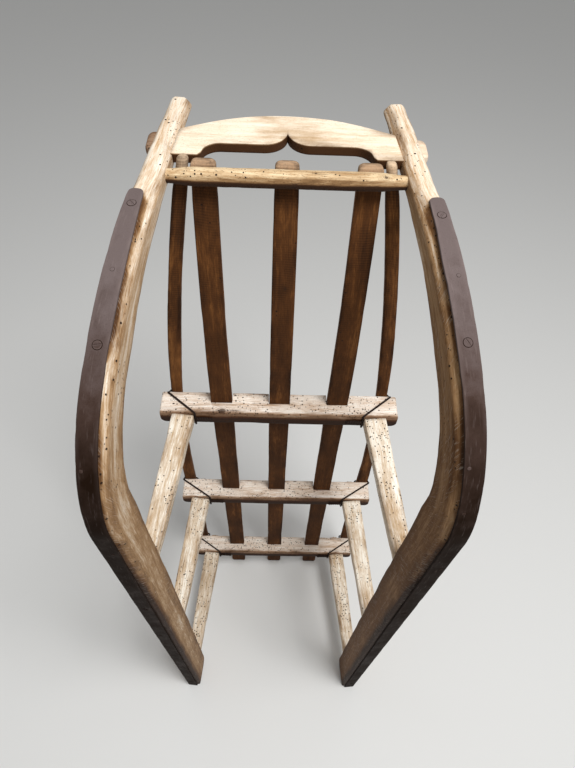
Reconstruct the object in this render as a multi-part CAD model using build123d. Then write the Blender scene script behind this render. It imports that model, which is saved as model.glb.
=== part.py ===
from build123d import *
import math
import os

# Wooden sled, standing upright on its tail. All sizes are in millimetres.
# The pieces are drawn in the sled's own axes: X across, Y from the runner soles
# to the deck, Z from the tail to the front, with the beams' undersides at Y = 0.
# At the end the whole sled leans on to its runner tails and slat tails.

# Runners: two sawn planks that lean in towards the deck.
SOLE_HALF_WIDTH = 179.7
SOLE_Y = -266.0
CANT_SLOPE = 0.096
RUNNER_THICKNESS = 25.0
RUNNER_DEPTH = 55.0
RUNNER_BEVEL = 2.4
TAIL_CORNER_RADIUS = 18.0
BEND_START_Z = 869.0
BEND_RADIUS = 160.0
BEND_TURN = 60.0
SWEEP_RADIUS = 400.0
SWEEP_TURN = 30.0
HORN_REACH = 172.0
INNER_BEND_RADIUS = 112.0
INNER_BEND_TURN = 55.0
HORN_ROOT_DEPTH = 32.0
HORN_TIP_DEPTH = 17.0
HORN_TIP_SETBACK = 1.5
HORN_TIP_FULLNESS = 0.45

# Iron shoes under the runners.
SHOE_WIDTH = 19.5
SHOE_FRONT_WIDTH = 15.5
SHOE_TAPER_LENGTH = 80.0
SHOE_THICKNESS = 3.0
SHOE_SWEEP_TURN = 29.5

# Crossbeams.
BEAM_OVERHANG = 17.6
BEAM_HEIGHT = 38.0
BEAM_THICKNESS = 28.0
BEAM_FRONT_FACES = {"front": 679.0, "middle": 381.0, "rear": 80.0}
BEAM_END_RADIUS = 9.0
BEAM_EDGE_RADIUS = 3.0
BEAM_LONG_CHAMFER = 1.2

# Posts between the beams and the runners.
POST_TOP_WIDTH = 34.0
POST_FOOT_WIDTH = 25.0
POST_THICKNESS = 19.0
POST_OUTWARD_SHIFT = 4.0
POST_CHAMFER = 2.0
FOOT_TENON_SHOULDER = 2.0
TENON_WIDTH = 16.0
TENON_THICKNESS = 11.0
TENON_PROUD = 5.0
FOOT_TENON_WIDTH = 12.0
FOOT_TENON_DEPTH = 26.0
JOINT_CLEARANCE = 0.1

# Deck slats.
SLAT_TAIL_WIDTH = 32.0
SLAT_FRONT_WIDTH = 26.5
SLAT_THICKNESS = 12.0
SLAT_UNDERSIDE = 19.0
SLAT_OVERHANG = 36.0
SLAT_RAIL_GAP = 0.8
SLAT_END_RADIUS = 6.0
SLAT_BEND_START = 700.0
SLAT_PAST_ROD = 10.0
NOTCH_CLEARANCE = 0.2

# Side rails.
RAIL_WIDTH_REAR = 20.0
RAIL_WIDTH_FRONT = 12.5
RAIL_HEIGHT = 14.0
RAIL_END_INSET = 0.5
RAIL_CHAMFER = 2.2
RAIL_HORN_GAP = 7.0
RAIL_BOW_START = 372.0
RAIL_TAIL_Z = -12.0
RAIL_PAST_ROD = 14.0
RAIL_RISE_START = 700.0

# Front rod.
ROD_DIAMETER = 20.0
ROD_END_DIAMETER = 15.0
ROD_TAPER_LENGTH = 30.0
ROD_Y = 52.0
ROD_INSET = 12.5
ROD_SOCKET_DEPTH = 16.0
ROD_SEAT_GAP = 0.4

# Carved front board.
BOARD_THICKNESS = 12.0
BOARD_INSET = 3.15
BOARD_DECK_GAP = 2.2
BOARD_WIDTH_AT_ENDS = 47.0
BOARD_ARCH_RISE = 32.0
BOARD_SIDE_GAP = 2.0
BOARD_FOOT = 23.0
BOARD_STEP = 22.0
BOARD_STEP_RUN = 20.0
BOARD_PEAK = 22.0
BOARD_PEAK_RUN = 26.0
BOARD_TENON_WIDTH = 38.0
BOARD_TENON_PROUD = 8.0

# Iron wire lashings.
WIRE_DIAMETER = 3.0
WIRE_GAP = 0.15

# Values worked out from the sizes above.
CANT = math.degrees(math.atan(CANT_SLOPE))
COS_CANT = math.cos(math.radians(CANT))
RUNNER_LOCATION = Location((SOLE_HALF_WIDTH, SOLE_Y, 0)) * Rot(Z=CANT)
SHOE_SOLE_Y = SOLE_Y - SHOE_THICKNESS * COS_CANT - SHOE_WIDTH * math.sin(math.radians(CANT))
LEAN = math.degrees(math.atan(SLAT_OVERHANG / (SLAT_UNDERSIDE - SHOE_SOLE_Y)))
BIG = 3000.0
HORN_Z = BEND_START_Z + BEND_RADIUS * math.sin(math.radians(BEND_TURN))
HORN_Z += SWEEP_RADIUS * (1 - math.cos(math.radians(SWEEP_TURN)))
ROD_Z = HORN_Z - ROD_INSET
BOARD_FRONT_Z = HORN_Z - BOARD_INSET
SLAT_FRONT_Z = ROD_Z + SLAT_PAST_ROD
RAIL_FRONT_Z = ROD_Z + RAIL_PAST_ROD
DECK_SEAT_Y = ROD_Y + ROD_DIAMETER / 2 + ROD_SEAT_GAP
BOARD_END_Y = DECK_SEAT_Y + max(SLAT_THICKNESS, RAIL_HEIGHT) + BOARD_DECK_GAP


def in_plank(y):
    """Distance from the sole, measured in a runner's own leaning plane, of height y."""
    return (y - SOLE_Y) / COS_CANT


def outer_x(y):
    """X of a runner's outer face at height y."""
    return SOLE_HALF_WIDTH - CANT_SLOPE * (y - SOLE_Y)


def inner_x(y):
    """X of a runner's inner face at height y."""
    return outer_x(y) - RUNNER_THICKNESS / COS_CANT


POST_X = outer_x(0) - RUNNER_THICKNESS / 2 + POST_OUTWARD_SHIFT
BEAM_LENGTH = 2 * (POST_X + POST_TOP_WIDTH / 2 + BEAM_OVERHANG)
RAIL_OUTER_REAR_X = BEAM_LENGTH / 2 - RAIL_END_INSET
RAIL_OUTER_FRONT_X = inner_x(DECK_SEAT_Y + RAIL_HEIGHT) - RAIL_HORN_GAP
RAIL_BOW = RAIL_OUTER_REAR_X - RAIL_OUTER_FRONT_X
RAIL_BOW_RUN = RAIL_FRONT_Z - RAIL_BOW_START
RAIL_BOW_RADIUS = (RAIL_BOW_RUN ** 2 + RAIL_BOW ** 2) / (2 * RAIL_BOW)
SLAT_PITCH = RAIL_OUTER_FRONT_X - RAIL_WIDTH_FRONT - SLAT_FRONT_WIDTH / 2 - SLAT_RAIL_GAP
SLAT_PLACES = [-SLAT_PITCH, 0.0, SLAT_PITCH]


def block(x0, x1, y0, y1, z0, z1):
    """A box between two corners."""
    size = Box(x1 - x0, y1 - y0, z1 - z0)
    return Pos((x0 + x1) / 2, (y0 + y1) / 2, (z0 + z1) / 2) * size


def sole_path(offset, sweep_turn):
    """Line, bend and sweep of the sole, moved outwards by offset, in a runner's plane."""
    start = Line((-offset, 0), (-offset, BEND_START_Z))
    bend = JernArc(start @ 1, start % 1, BEND_RADIUS + offset, -BEND_TURN)
    sweep = JernArc(bend @ 1, bend % 1, SWEEP_RADIUS + offset, -sweep_turn)
    return [start, bend, sweep]


def runner():
    """The right-hand plank: straight sole, bend, a horn that tapers to a round tip, and bevelled rims."""
    sole = sole_path(0, SWEEP_TURN)
    horn = Line(sole[-1] @ 1, sole[-1] @ 1 + (sole[-1] % 1) * HORN_REACH)
    deck = Line((RUNNER_DEPTH, TAIL_CORNER_RADIUS), (RUNNER_DEPTH, BEND_START_Z))
    deck_bend = JernArc(deck @ 1, deck % 1, INNER_BEND_RADIUS, -INNER_BEND_TURN)
    root = sole[-1] @ 1 - Vector(0, HORN_ROOT_DEPTH)
    deck_sweep = TangentArc(deck_bend @ 1, root, tangent=deck_bend % 1)
    under_tip = horn @ 1 - Vector(HORN_TIP_SETBACK, HORN_TIP_DEPTH)
    under_horn = TangentArc(root, under_tip, tangent=deck_sweep % 1)
    tip_depth = (horn @ 1 - under_horn @ 1).length
    tip_middle = (horn @ 1 + under_horn @ 1) / 2 + (horn % 1) * tip_depth * HORN_TIP_FULLNESS
    tip = ThreePointArc(horn @ 1, tip_middle, under_horn @ 1)
    foot = Line((0, 0), (RUNNER_DEPTH - TAIL_CORNER_RADIUS, 0))
    corner = JernArc(foot @ 1, foot % 1, TAIL_CORNER_RADIUS, 90)
    outline = sole + [horn, tip, under_horn, deck_sweep, deck_bend, deck, corner, foot]
    face = make_face([Plane.YZ * edge for edge in outline]).faces()[0]
    side_face = make_face(offset(face.outer_wire(), -RUNNER_BEVEL))
    middle_part = RUNNER_THICKNESS - 2 * RUNNER_BEVEL
    plank = extrude(Pos(-RUNNER_BEVEL, 0, 0) * face, amount=middle_part, dir=(-1, 0, 0))
    plank += loft([Pos(-RUNNER_BEVEL, 0, 0) * face, side_face])
    plank += loft([Pos(RUNNER_BEVEL - RUNNER_THICKNESS, 0, 0) * face, Pos(-RUNNER_THICKNESS, 0, 0) * side_face])
    return RUNNER_LOCATION * plank


def shoe():
    """The iron strip under the right-hand runner, narrowed on its inner side and rounded at its front end."""
    inner = sole_path(0, SHOE_SWEEP_TURN)
    outer = sole_path(SHOE_THICKNESS, SHOE_SWEEP_TURN)
    tail_end = Line(inner[0] @ 0, outer[0] @ 0)
    front_end = Line(inner[-1] @ 1, outer[-1] @ 1)
    outline = inner + outer + [tail_end, front_end]
    face = make_face([Plane.YZ * edge for edge in outline])
    strip = extrude(face, amount=SHOE_WIDTH, dir=(-1, 0, 0))
    end_y = (inner[-1] @ 1).X
    taper = Polyline((-SHOE_WIDTH, end_y - SHOE_TAPER_LENGTH), (-SHOE_FRONT_WIDTH, end_y),
                     (-SHOE_FRONT_WIDTH, end_y + SHOE_WIDTH), (-SHOE_WIDTH, end_y + SHOE_WIDTH), close=True)
    strip -= extrude(make_face(taper), amount=BIG)
    end_face = max(strip.faces(), key=lambda side: side.center().Y)
    corners = [edge for edge in end_face.edges() if abs(edge.length - SHOE_THICKNESS) < 0.01]
    strip = fillet(corners, SHOE_FRONT_WIDTH / 2 - 0.4)
    return RUNNER_LOCATION * strip


def on_post(x0, x1, y0, y1, z0, z1):
    """A box in a post's leaning plane: x from the post's axis, y as a height."""
    middle = -RUNNER_THICKNESS / 2 + POST_OUTWARD_SHIFT
    return RUNNER_LOCATION * block(middle + x0, middle + x1, in_plank(y0), in_plank(y1), z0, z1)


def top_tenon(front, clearance, y1):
    """The tenon that a post sends through a beam whose front face is at front."""
    middle = front - BEAM_THICKNESS / 2
    half_w = TENON_WIDTH / 2 + clearance
    half_t = TENON_THICKNESS / 2 + clearance
    return on_post(-half_w, half_w, -12, y1, middle - half_t, middle + half_t)


def foot_tenon(front, clearance):
    """The tenon that a post sends into its runner."""
    middle = front - BEAM_THICKNESS / 2
    half_w = FOOT_TENON_WIDTH / 2 + clearance
    half_t = POST_THICKNESS / 2 - FOOT_TENON_SHOULDER + clearance
    foot_y = SOLE_Y + RUNNER_DEPTH * COS_CANT
    bottom = foot_y - FOOT_TENON_DEPTH - clearance
    tenon = block(-half_w, half_w, in_plank(bottom), in_plank(foot_y + FOOT_TENON_DEPTH / 2),
                  middle - half_t, middle + half_t)
    return RUNNER_LOCATION * Pos(-RUNNER_THICKNESS / 2, 0, 0) * tenon


def post(front):
    """The right-hand post under one beam: a tapered leg with a tenon at each end."""
    middle = front - BEAM_THICKNESS / 2
    centre = -RUNNER_THICKNESS / 2 + POST_OUTWARD_SHIFT
    top = in_plank(20)
    leg = Polyline((centre - POST_FOOT_WIDTH / 2, RUNNER_DEPTH), (centre + POST_FOOT_WIDTH / 2, RUNNER_DEPTH),
                   (centre + POST_TOP_WIDTH / 2, top), (centre - POST_TOP_WIDTH / 2, top), close=True)
    body = Pos(0, 0, middle - POST_THICKNESS / 2) * extrude(make_face(leg), amount=POST_THICKNESS)
    long_edges = body.edges().filter_by(lambda edge: edge.length > POST_TOP_WIDTH * 2)
    body = chamfer(long_edges, POST_CHAMFER)
    body = RUNNER_LOCATION * body
    body = body & block(0, BIG, -BIG, 0, -BIG, BIG)
    return body + top_tenon(front, 0, BEAM_HEIGHT + TENON_PROUD) + foot_tenon(front, 0)


def slat_profile():
    """Side outline of a slat: flat over the beams, then bent up on to the front rod."""
    run = ROD_Z - SLAT_BEND_START
    rise = DECK_SEAT_Y - SLAT_UNDERSIDE
    radius = (run ** 2 + rise ** 2) / (2 * rise)
    turn = math.degrees(math.asin(run / radius))
    under = Line((SLAT_UNDERSIDE, -SLAT_OVERHANG), (SLAT_UNDERSIDE, SLAT_BEND_START))
    under_bend = JernArc(under @ 1, under % 1, radius, -turn)
    under_end = Line(under_bend @ 1, under_bend @ 1 + (under_bend % 1) * (SLAT_FRONT_Z - ROD_Z))
    top_y = SLAT_UNDERSIDE + SLAT_THICKNESS
    over = Line((top_y, -SLAT_OVERHANG), (top_y, SLAT_BEND_START))
    over_bend = JernArc(over @ 1, over % 1, radius - SLAT_THICKNESS, -turn)
    over_end = Line(over_bend @ 1, over_bend @ 1 + (over_bend % 1) * (SLAT_FRONT_Z - ROD_Z))
    tail = Line(under @ 0, over @ 0)
    front = Line(under_end @ 1, over_end @ 1)
    return make_face([Plane.YZ * e for e in [under, under_bend, under_end, front, over_end, over_bend, over, tail]])


def slat(x):
    """One deck slat centred at x, narrower towards the front."""
    side = extrude(slat_profile(), amount=SLAT_TAIL_WIDTH, both=True)
    plan = Polyline((-SLAT_TAIL_WIDTH / 2, -SLAT_OVERHANG), (SLAT_TAIL_WIDTH / 2, -SLAT_OVERHANG),
                    (SLAT_TAIL_WIDTH / 2, SLAT_BEND_START), (SLAT_FRONT_WIDTH / 2, SLAT_FRONT_Z + 20),
                    (-SLAT_FRONT_WIDTH / 2, SLAT_FRONT_Z + 20), (-SLAT_TAIL_WIDTH / 2, SLAT_BEND_START), close=True)
    plan_face = make_face([Plane.XZ * e for e in plan.edges()])
    strip = side & extrude(plan_face, amount=BIG, both=True)
    end_face = max(strip.faces(), key=lambda face: face.center().Z)
    corners = [edge for edge in end_face.edges() if abs(edge.length - SLAT_THICKNESS) < 0.5]
    strip = fillet(corners, SLAT_END_RADIUS)
    return Pos(x, 0, 0) * strip


def rail():
    """The right-hand side rail: square-set on the beams, bowed inwards and up to the rod."""
    run = ROD_Z - RAIL_RISE_START
    rise = DECK_SEAT_Y - BEAM_HEIGHT
    radius = (run ** 2 + rise ** 2) / (2 * rise)
    turn = math.degrees(math.asin((RAIL_FRONT_Z - RAIL_RISE_START) / radius))
    lower = Line((BEAM_HEIGHT, RAIL_TAIL_Z), (BEAM_HEIGHT, RAIL_RISE_START))
    lower_bend = JernArc(lower @ 1, lower % 1, radius, -turn)
    upper = Line((BEAM_HEIGHT + RAIL_HEIGHT, RAIL_TAIL_Z), (BEAM_HEIGHT + RAIL_HEIGHT, RAIL_RISE_START))
    upper_bend = JernArc(upper @ 1, upper % 1, radius - RAIL_HEIGHT, -turn)
    ends = [Line(lower @ 0, upper @ 0), Line(lower_bend @ 1, upper_bend @ 1)]
    side_face = make_face([Plane.YZ * e for e in [lower, lower_bend, upper, upper_bend] + ends])
    side = extrude(side_face, amount=BEAM_LENGTH, dir=(1, 0, 0))

    bow_turn = math.degrees(math.asin(RAIL_BOW_RUN / RAIL_BOW_RADIUS))
    outer = Line((RAIL_OUTER_REAR_X, RAIL_TAIL_Z), (RAIL_OUTER_REAR_X, RAIL_BOW_START))
    outer_bow = JernArc(outer @ 1, outer % 1, RAIL_BOW_RADIUS, bow_turn)
    inner_start = RAIL_OUTER_REAR_X - RAIL_WIDTH_REAR
    inner = Line((inner_start, RAIL_TAIL_Z), (inner_start, RAIL_BOW_START))
    inner_end = outer_bow @ 1 - Vector(RAIL_WIDTH_FRONT, 0)
    inner_middle = outer_bow @ 0.5 - Vector((RAIL_WIDTH_REAR + RAIL_WIDTH_FRONT) / 2, 0)
    inner_bow = ThreePointArc(inner @ 1, inner_middle, inner_end)
    ends = [Line(outer @ 0, inner @ 0), Line(outer_bow @ 1, inner_bow @ 1)]
    plan_face = make_face([Plane.XZ * e for e in [outer, outer_bow, inner, inner_bow] + ends])
    bar = side & extrude(plan_face, amount=BIG, both=True)
    long_edges = bar.edges().filter_by(lambda edge: edge.length > RAIL_WIDTH_REAR * 4)
    return chamfer(long_edges, RAIL_CHAMFER)


def beam(front):
    """One crossbeam with its notches for the slats and mortises for the posts."""
    half = BEAM_LENGTH / 2
    body = block(-half, half, 0, BEAM_HEIGHT, front - BEAM_THICKNESS, front)
    uprights = body.edges().filter_by(Axis.Y)
    rear_corners = uprights.filter_by(lambda e: e.center().Z < front - BEAM_THICKNESS / 2)
    body = fillet(rear_corners, BEAM_END_RADIUS)
    front_corners = body.edges().filter_by(Axis.Y).filter_by(lambda e: e.center().Z > front - 0.1)
    body = fillet(front_corners, BEAM_EDGE_RADIUS)
    body = chamfer(body.edges().filter_by(Axis.X), BEAM_LONG_CHAMFER)
    for x in SLAT_PLACES:
        half_notch = SLAT_TAIL_WIDTH / 2 + NOTCH_CLEARANCE
        body -= block(x - half_notch, x + half_notch, SLAT_UNDERSIDE, BEAM_HEIGHT + 1,
                      front - BEAM_THICKNESS - 1, front + 1)
    mortise = top_tenon(front, JOINT_CLEARANCE, BEAM_HEIGHT + 5)
    return body - mortise - mirror(mortise, Plane.YZ)


def rod():
    """The round front rod, thinner at its ends, which sit in the runners' horns."""
    face_x = inner_x(ROD_Y)
    end_x = face_x + ROD_SOCKET_DEPTH
    mid = face_x - ROD_TAPER_LENGTH
    outline = Polyline((-end_x, 0), (-end_x, ROD_END_DIAMETER / 2), (-face_x, ROD_END_DIAMETER / 2),
                       (-mid, ROD_DIAMETER / 2), (mid, ROD_DIAMETER / 2), (face_x, ROD_END_DIAMETER / 2),
                       (end_x, ROD_END_DIAMETER / 2), (end_x, 0), close=True)
    return Pos(0, ROD_Y, ROD_Z) * revolve(make_face(outline), Axis.X)


def rod_socket():
    """The bore that takes one end of the rod, in the right-hand horn."""
    face_x = inner_x(ROD_Y)
    length = ROD_SOCKET_DEPTH + 12
    bore = Cylinder(ROD_END_DIAMETER / 2 + JOINT_CLEARANCE, length, rotation=(0, 90, 0))
    return Pos(face_x + ROD_SOCKET_DEPTH + JOINT_CLEARANCE - length / 2, ROD_Y, ROD_Z) * bore


def board_tenon(clearance, overshoot):
    """One tenon of the front board, through the right-hand horn."""
    middle = BOARD_END_Y + BOARD_WIDTH_AT_ENDS / 2
    half = BOARD_TENON_WIDTH / 2 + clearance
    outside = outer_x(middle) + BOARD_TENON_PROUD + overshoot
    inside = inner_x(middle) - 12
    return block(inside, outside, middle - half, middle + half,
                 BOARD_FRONT_Z - BOARD_THICKNESS - clearance, BOARD_FRONT_Z + clearance)


def board():
    """The carved front board: an arched front edge and a rear edge that rises to a point."""
    end_x = inner_x(BOARD_END_Y + BOARD_WIDTH_AT_ENDS) - BOARD_SIDE_GAP
    far_y = BOARD_END_Y + BOARD_WIDTH_AT_ENDS
    near_y = BOARD_END_Y
    shelf_y = near_y + BOARD_STEP
    foot_x = end_x - BOARD_FOOT
    shelf_x = foot_x - BOARD_STEP_RUN
    arch = ThreePointArc((-end_x, far_y), (0, far_y + BOARD_ARCH_RISE), (end_x, far_y))
    edges = [arch]
    for side in (-1, 1):
        end = Line((side * end_x, far_y), (side * end_x, near_y))
        foot = Line(end @ 1, (side * foot_x, near_y))
        step = TangentArc((side * shelf_x, shelf_y), (side * foot_x, near_y), tangent=(side, 0))
        shelf = Line((side * shelf_x, shelf_y), (side * BOARD_PEAK_RUN, shelf_y))
        peak = TangentArc((side * BOARD_PEAK_RUN, shelf_y), (0, shelf_y + BOARD_PEAK), tangent=(-side, 0))
        edges += [end, foot, step, shelf, peak]
    plate = Pos(0, 0, BOARD_FRONT_Z - BOARD_THICKNESS) * extrude(make_face(edges), amount=BOARD_THICKNESS)
    tenon = board_tenon(0, 0)
    corners = tenon.edges().filter_by(Axis.Z).filter_by(lambda e: e.center().X > outer_x(BOARD_END_Y))
    tenon = fillet(corners, BOARD_TENON_PROUD)
    return plate + tenon + mirror(tenon, Plane.YZ)


def rail_outer_x(z):
    """X of the rail's outer side at length z."""
    along = max(0.0, z - RAIL_BOW_START)
    return RAIL_OUTER_REAR_X - RAIL_BOW_RADIUS + math.sqrt(RAIL_BOW_RADIUS ** 2 - along ** 2)


def rail_inner_x(z):
    """X of the rail's inner side at length z."""
    share = max(0.0, z - RAIL_BOW_START) / RAIL_BOW_RUN
    return rail_outer_x(z) - RAIL_WIDTH_REAR + (RAIL_WIDTH_REAR - RAIL_WIDTH_FRONT) * share


def strand(start, end):
    """One straight stretch of wire, a little longer than its run so that the bends are closed."""
    start = Vector(start)
    run = Vector(end) - start
    spare = WIRE_DIAMETER * 0.2
    section = Plane(origin=start - run.normalized() * spare, z_dir=run) * RegularPolygon(WIRE_DIAMETER / 2, 6)
    return extrude(section, amount=run.length + 2 * spare)


def lashing(front):
    """One wire, closed round the rail, the beam and the inner side of the post."""
    stand = WIRE_DIAMETER / 2 + WIRE_GAP
    rear = front - BEAM_THICKNESS
    outside = rail_outer_x(rear) + stand
    inside = rail_inner_x(front) - stand
    over = BEAM_HEIGHT + RAIL_HEIGHT + stand
    foot_x = POST_X - POST_TOP_WIDTH / 2 - stand
    points = [
        (foot_x, -stand, front + stand),
        (outside, BEAM_HEIGHT - WIRE_DIAMETER, front + stand),
        (outside, over, front + stand),
        (inside, over, rear - stand),
        (inside, BEAM_HEIGHT, rear - stand),
        (foot_x, -stand, rear - stand),
    ]
    strands = [strand(a, b) for a, b in zip(points, points[1:] + points[:1])]
    return strands[0] + strands[1:]


parts = {}
right_runner = runner()
for front in BEAM_FRONT_FACES.values():
    right_runner -= foot_tenon(front, JOINT_CLEARANCE)
right_runner -= rod_socket()
right_runner -= board_tenon(JOINT_CLEARANCE, 10)

pairs = {"runner": right_runner, "iron_shoe": shoe(), "side_rail": rail()}
for place, front in BEAM_FRONT_FACES.items():
    pairs["post_" + place] = post(front)
    pairs["wire_lashing_" + place] = lashing(front)
    parts["crossbeam_" + place] = beam(front)
for name, piece in pairs.items():
    parts[name + "_right"] = piece
    parts[name + "_left"] = mirror(piece, Plane.YZ)
for name, x in zip(["left", "middle", "right"], SLAT_PLACES):
    parts["deck_slat_" + name] = slat(x)
parts["front_rod"] = rod()
parts["front_board"] = board()

os.makedirs("parts", exist_ok=True)
stand_up = Rot(X=LEAN) * Pos(0, -SHOE_SOLE_Y, 0)
placed = {name: stand_up * piece for name, piece in parts.items()}
box = Compound(children=[Compound(piece.wrapped) for piece in placed.values()]).bounding_box()
centre_y = (box.min.Y + box.max.Y) / 2
print("lean", round(LEAN, 3), "box", box.min, box.max)
for name, piece in placed.items():
    export_step(Pos(0, -centre_y, -box.min.Z) * piece, "parts/" + name + ".step")
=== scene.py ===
# %% [markdown]
# An old wooden sled stands upright on its tail, so the camera sees it from above and from
# the side that slides on the snow. The runners, posts and crossbeams were sawn and shaved by
# hand, iron straps are screwed under the runners, and iron wires tie the side rails down.
# The CAD model gives every place. This script dresses it: each piece is a section carried
# along a path, worked out with numpy, with a wood or iron finish made from nodes.

# %% Load the frame
import math

import bpy
import numpy as np
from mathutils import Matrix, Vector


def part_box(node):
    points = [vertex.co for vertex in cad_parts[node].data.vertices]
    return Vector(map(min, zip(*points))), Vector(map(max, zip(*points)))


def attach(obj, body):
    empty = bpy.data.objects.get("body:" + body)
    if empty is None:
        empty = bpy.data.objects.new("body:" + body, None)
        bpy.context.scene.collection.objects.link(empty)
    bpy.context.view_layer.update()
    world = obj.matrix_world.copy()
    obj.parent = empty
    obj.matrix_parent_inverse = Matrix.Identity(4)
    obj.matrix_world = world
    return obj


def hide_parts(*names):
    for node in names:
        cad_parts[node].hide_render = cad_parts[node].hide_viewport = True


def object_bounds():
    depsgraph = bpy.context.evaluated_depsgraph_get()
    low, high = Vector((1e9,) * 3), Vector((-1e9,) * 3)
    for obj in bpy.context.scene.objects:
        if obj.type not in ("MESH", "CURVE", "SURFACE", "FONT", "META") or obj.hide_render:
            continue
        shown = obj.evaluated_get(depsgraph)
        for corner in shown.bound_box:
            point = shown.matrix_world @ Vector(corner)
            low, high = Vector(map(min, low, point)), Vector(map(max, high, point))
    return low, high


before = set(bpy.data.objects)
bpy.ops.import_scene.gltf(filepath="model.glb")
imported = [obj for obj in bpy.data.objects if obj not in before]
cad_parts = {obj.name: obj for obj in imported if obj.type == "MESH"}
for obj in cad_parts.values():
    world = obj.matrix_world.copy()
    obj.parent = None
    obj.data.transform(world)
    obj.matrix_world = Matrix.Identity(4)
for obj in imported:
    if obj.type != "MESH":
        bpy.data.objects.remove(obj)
cad_low, cad_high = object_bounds()
print("CAD box", tuple(cad_low), tuple(cad_high))

# %% [markdown]
# Every piece is easiest to describe in the sled's own axes: x across, y from the soles to
# the deck, z from the tail to the front, with the crossbeams' undersides at y = 0. The sled
# leans on to its runner tails and slat tails, so these axes are turned by the lean and then
# moved until the front rod's axis is where the CAD rod's axis is. The runners lean in by the
# cant, so a runner has a plane of its own, with a distance across it and one from its sole.

# %% The sled's own axes
SOLE_HALF_WIDTH = 0.1797
SOLE_Y = -0.266
CANT = math.atan(0.096)
RUNNER_THICKNESS = 0.025
SHOE_WIDTH = 0.0195
SHOE_THICKNESS = 0.003
SLAT_UNDERSIDE = 0.019
SLAT_OVERHANG = 0.036
BEND_START = 0.869
BEND_RADIUS, BEND_TURN = 0.160, math.radians(60)
SWEEP_RADIUS, SWEEP_TURN = 0.400, math.radians(30)
HORN_Z = BEND_START + BEND_RADIUS * math.sin(BEND_TURN) + SWEEP_RADIUS * (1 - math.cos(SWEEP_TURN))
ROD_UNDER_HORN = 0.0125
ROD_Y = 0.052
ROD_Z = HORN_Z - ROD_UNDER_HORN
LOWEST_SHOE_Y = SOLE_Y - SHOE_THICKNESS * math.cos(CANT) - SHOE_WIDTH * math.sin(CANT)
LEAN = math.atan(SLAT_OVERHANG / (SLAT_UNDERSIDE - LOWEST_SHOE_Y))
rod_low, rod_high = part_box("front_rod")
ROD_AXIS = (rod_low + rod_high) / 2


def stand(points):
    """Sled axes to the frame: turned by the lean about x, then moved so that the rod's axis fits."""
    y, z = points[..., 1] - ROD_Y, points[..., 2] - ROD_Z
    out = np.empty_like(points)
    out[..., 0] = points[..., 0]
    out[..., 1] = y * math.cos(LEAN) - z * math.sin(LEAN) + ROD_AXIS.y
    out[..., 2] = y * math.sin(LEAN) + z * math.cos(LEAN) + ROD_AXIS.z
    return out


def in_runner(across, depth, length):
    """From a right-hand runner's own plane, which leans in by the cant, to sled axes."""
    x = SOLE_HALF_WIDTH + across * math.cos(CANT) - depth * math.sin(CANT)
    y = SOLE_Y + across * math.sin(CANT) + depth * math.cos(CANT)
    return np.stack([x, y, length], -1)


def in_plank(y):
    """Distance from the sole, measured in the runner's plane, of height y."""
    return (y - SOLE_Y) / math.cos(CANT)


def outside_x(y):
    """X of a right-hand runner's outer face at height y."""
    return SOLE_HALF_WIDTH - math.tan(CANT) * (y - SOLE_Y)


def inside_x(y):
    """X of a right-hand runner's inner face at height y."""
    return outside_x(y) - RUNNER_THICKNESS / math.cos(CANT)


print("lean in degrees", round(math.degrees(LEAN), 3))

# %% [markdown]
# Hand-made wood is never quite straight. A few sine waves of different lengths, added up,
# give a slow wobble that is the same on every run, because its phases come from a seed.
# The other formulas here come back in most pieces: a soft step, the length walked along a
# path, a quarter-round corner, and the arc that starts level and rises by a given amount.


# %% Small formulas
def wobble(along, seed, longest, amount):
    """Sum of five sine waves, each shorter and weaker than the last, scaled to about amount."""
    phases = np.random.default_rng(seed).uniform(0, 2 * math.pi, 5)
    orders = np.arange(5)
    lengths = longest / 1.7 ** orders
    waves = np.sin(2 * math.pi * along[..., None] / lengths + phases) / (orders + 1)
    return waves.sum(-1) * amount / 1.5


def shaving(along, seed, longest, amount):
    """What a knife took off: the wobble where it is above zero, and nothing elsewhere."""
    return np.clip(wobble(along, seed, longest, amount), 0, None)


def smooth(value, start, end):
    """Rises from 0 at start to 1 at end, level at both ends: 3t squared minus 2t cubed."""
    t = np.clip((value - start) / (end - start), 0, 1)
    return t * t * (3 - 2 * t)


def walked(path):
    """The length walked along a path of complex numbers or of rows, up to each of its points."""
    steps = np.diff(path, axis=0)
    lengths = np.abs(steps) if np.iscomplexobj(path) else np.linalg.norm(steps, axis=1)
    return np.concatenate([[0], np.cumsum(lengths)])


def end_round(distance, radius):
    """How far a quarter-round corner sets a side back, at a distance from the end."""
    inside = np.clip(radius - distance, 0, radius)
    return radius - np.sqrt(radius ** 2 - inside ** 2)


def arc_radius(run, rise):
    """Radius of the arc that starts level and has gained rise after run."""
    return (run ** 2 + rise ** 2) / (2 * rise)


def arc_height(run, rise, distance):
    """Height of that arc at a distance from its start."""
    radius = arc_radius(run, rise)
    return radius - np.sqrt(np.maximum(0, radius ** 2 - np.clip(distance, 0, run) ** 2))


# %% [markdown]
# Almost everything here is a bar with rounded edges. So the main shape is a ring of points
# round a rectangle whose corners are quarter circles, with its size free to change from one
# station of the path to the next.

# %% A rounded section for every station
CORNER_STEPS = 5
SIDE_STEPS = 4
MOST_ROUNDING = 0.495


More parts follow.
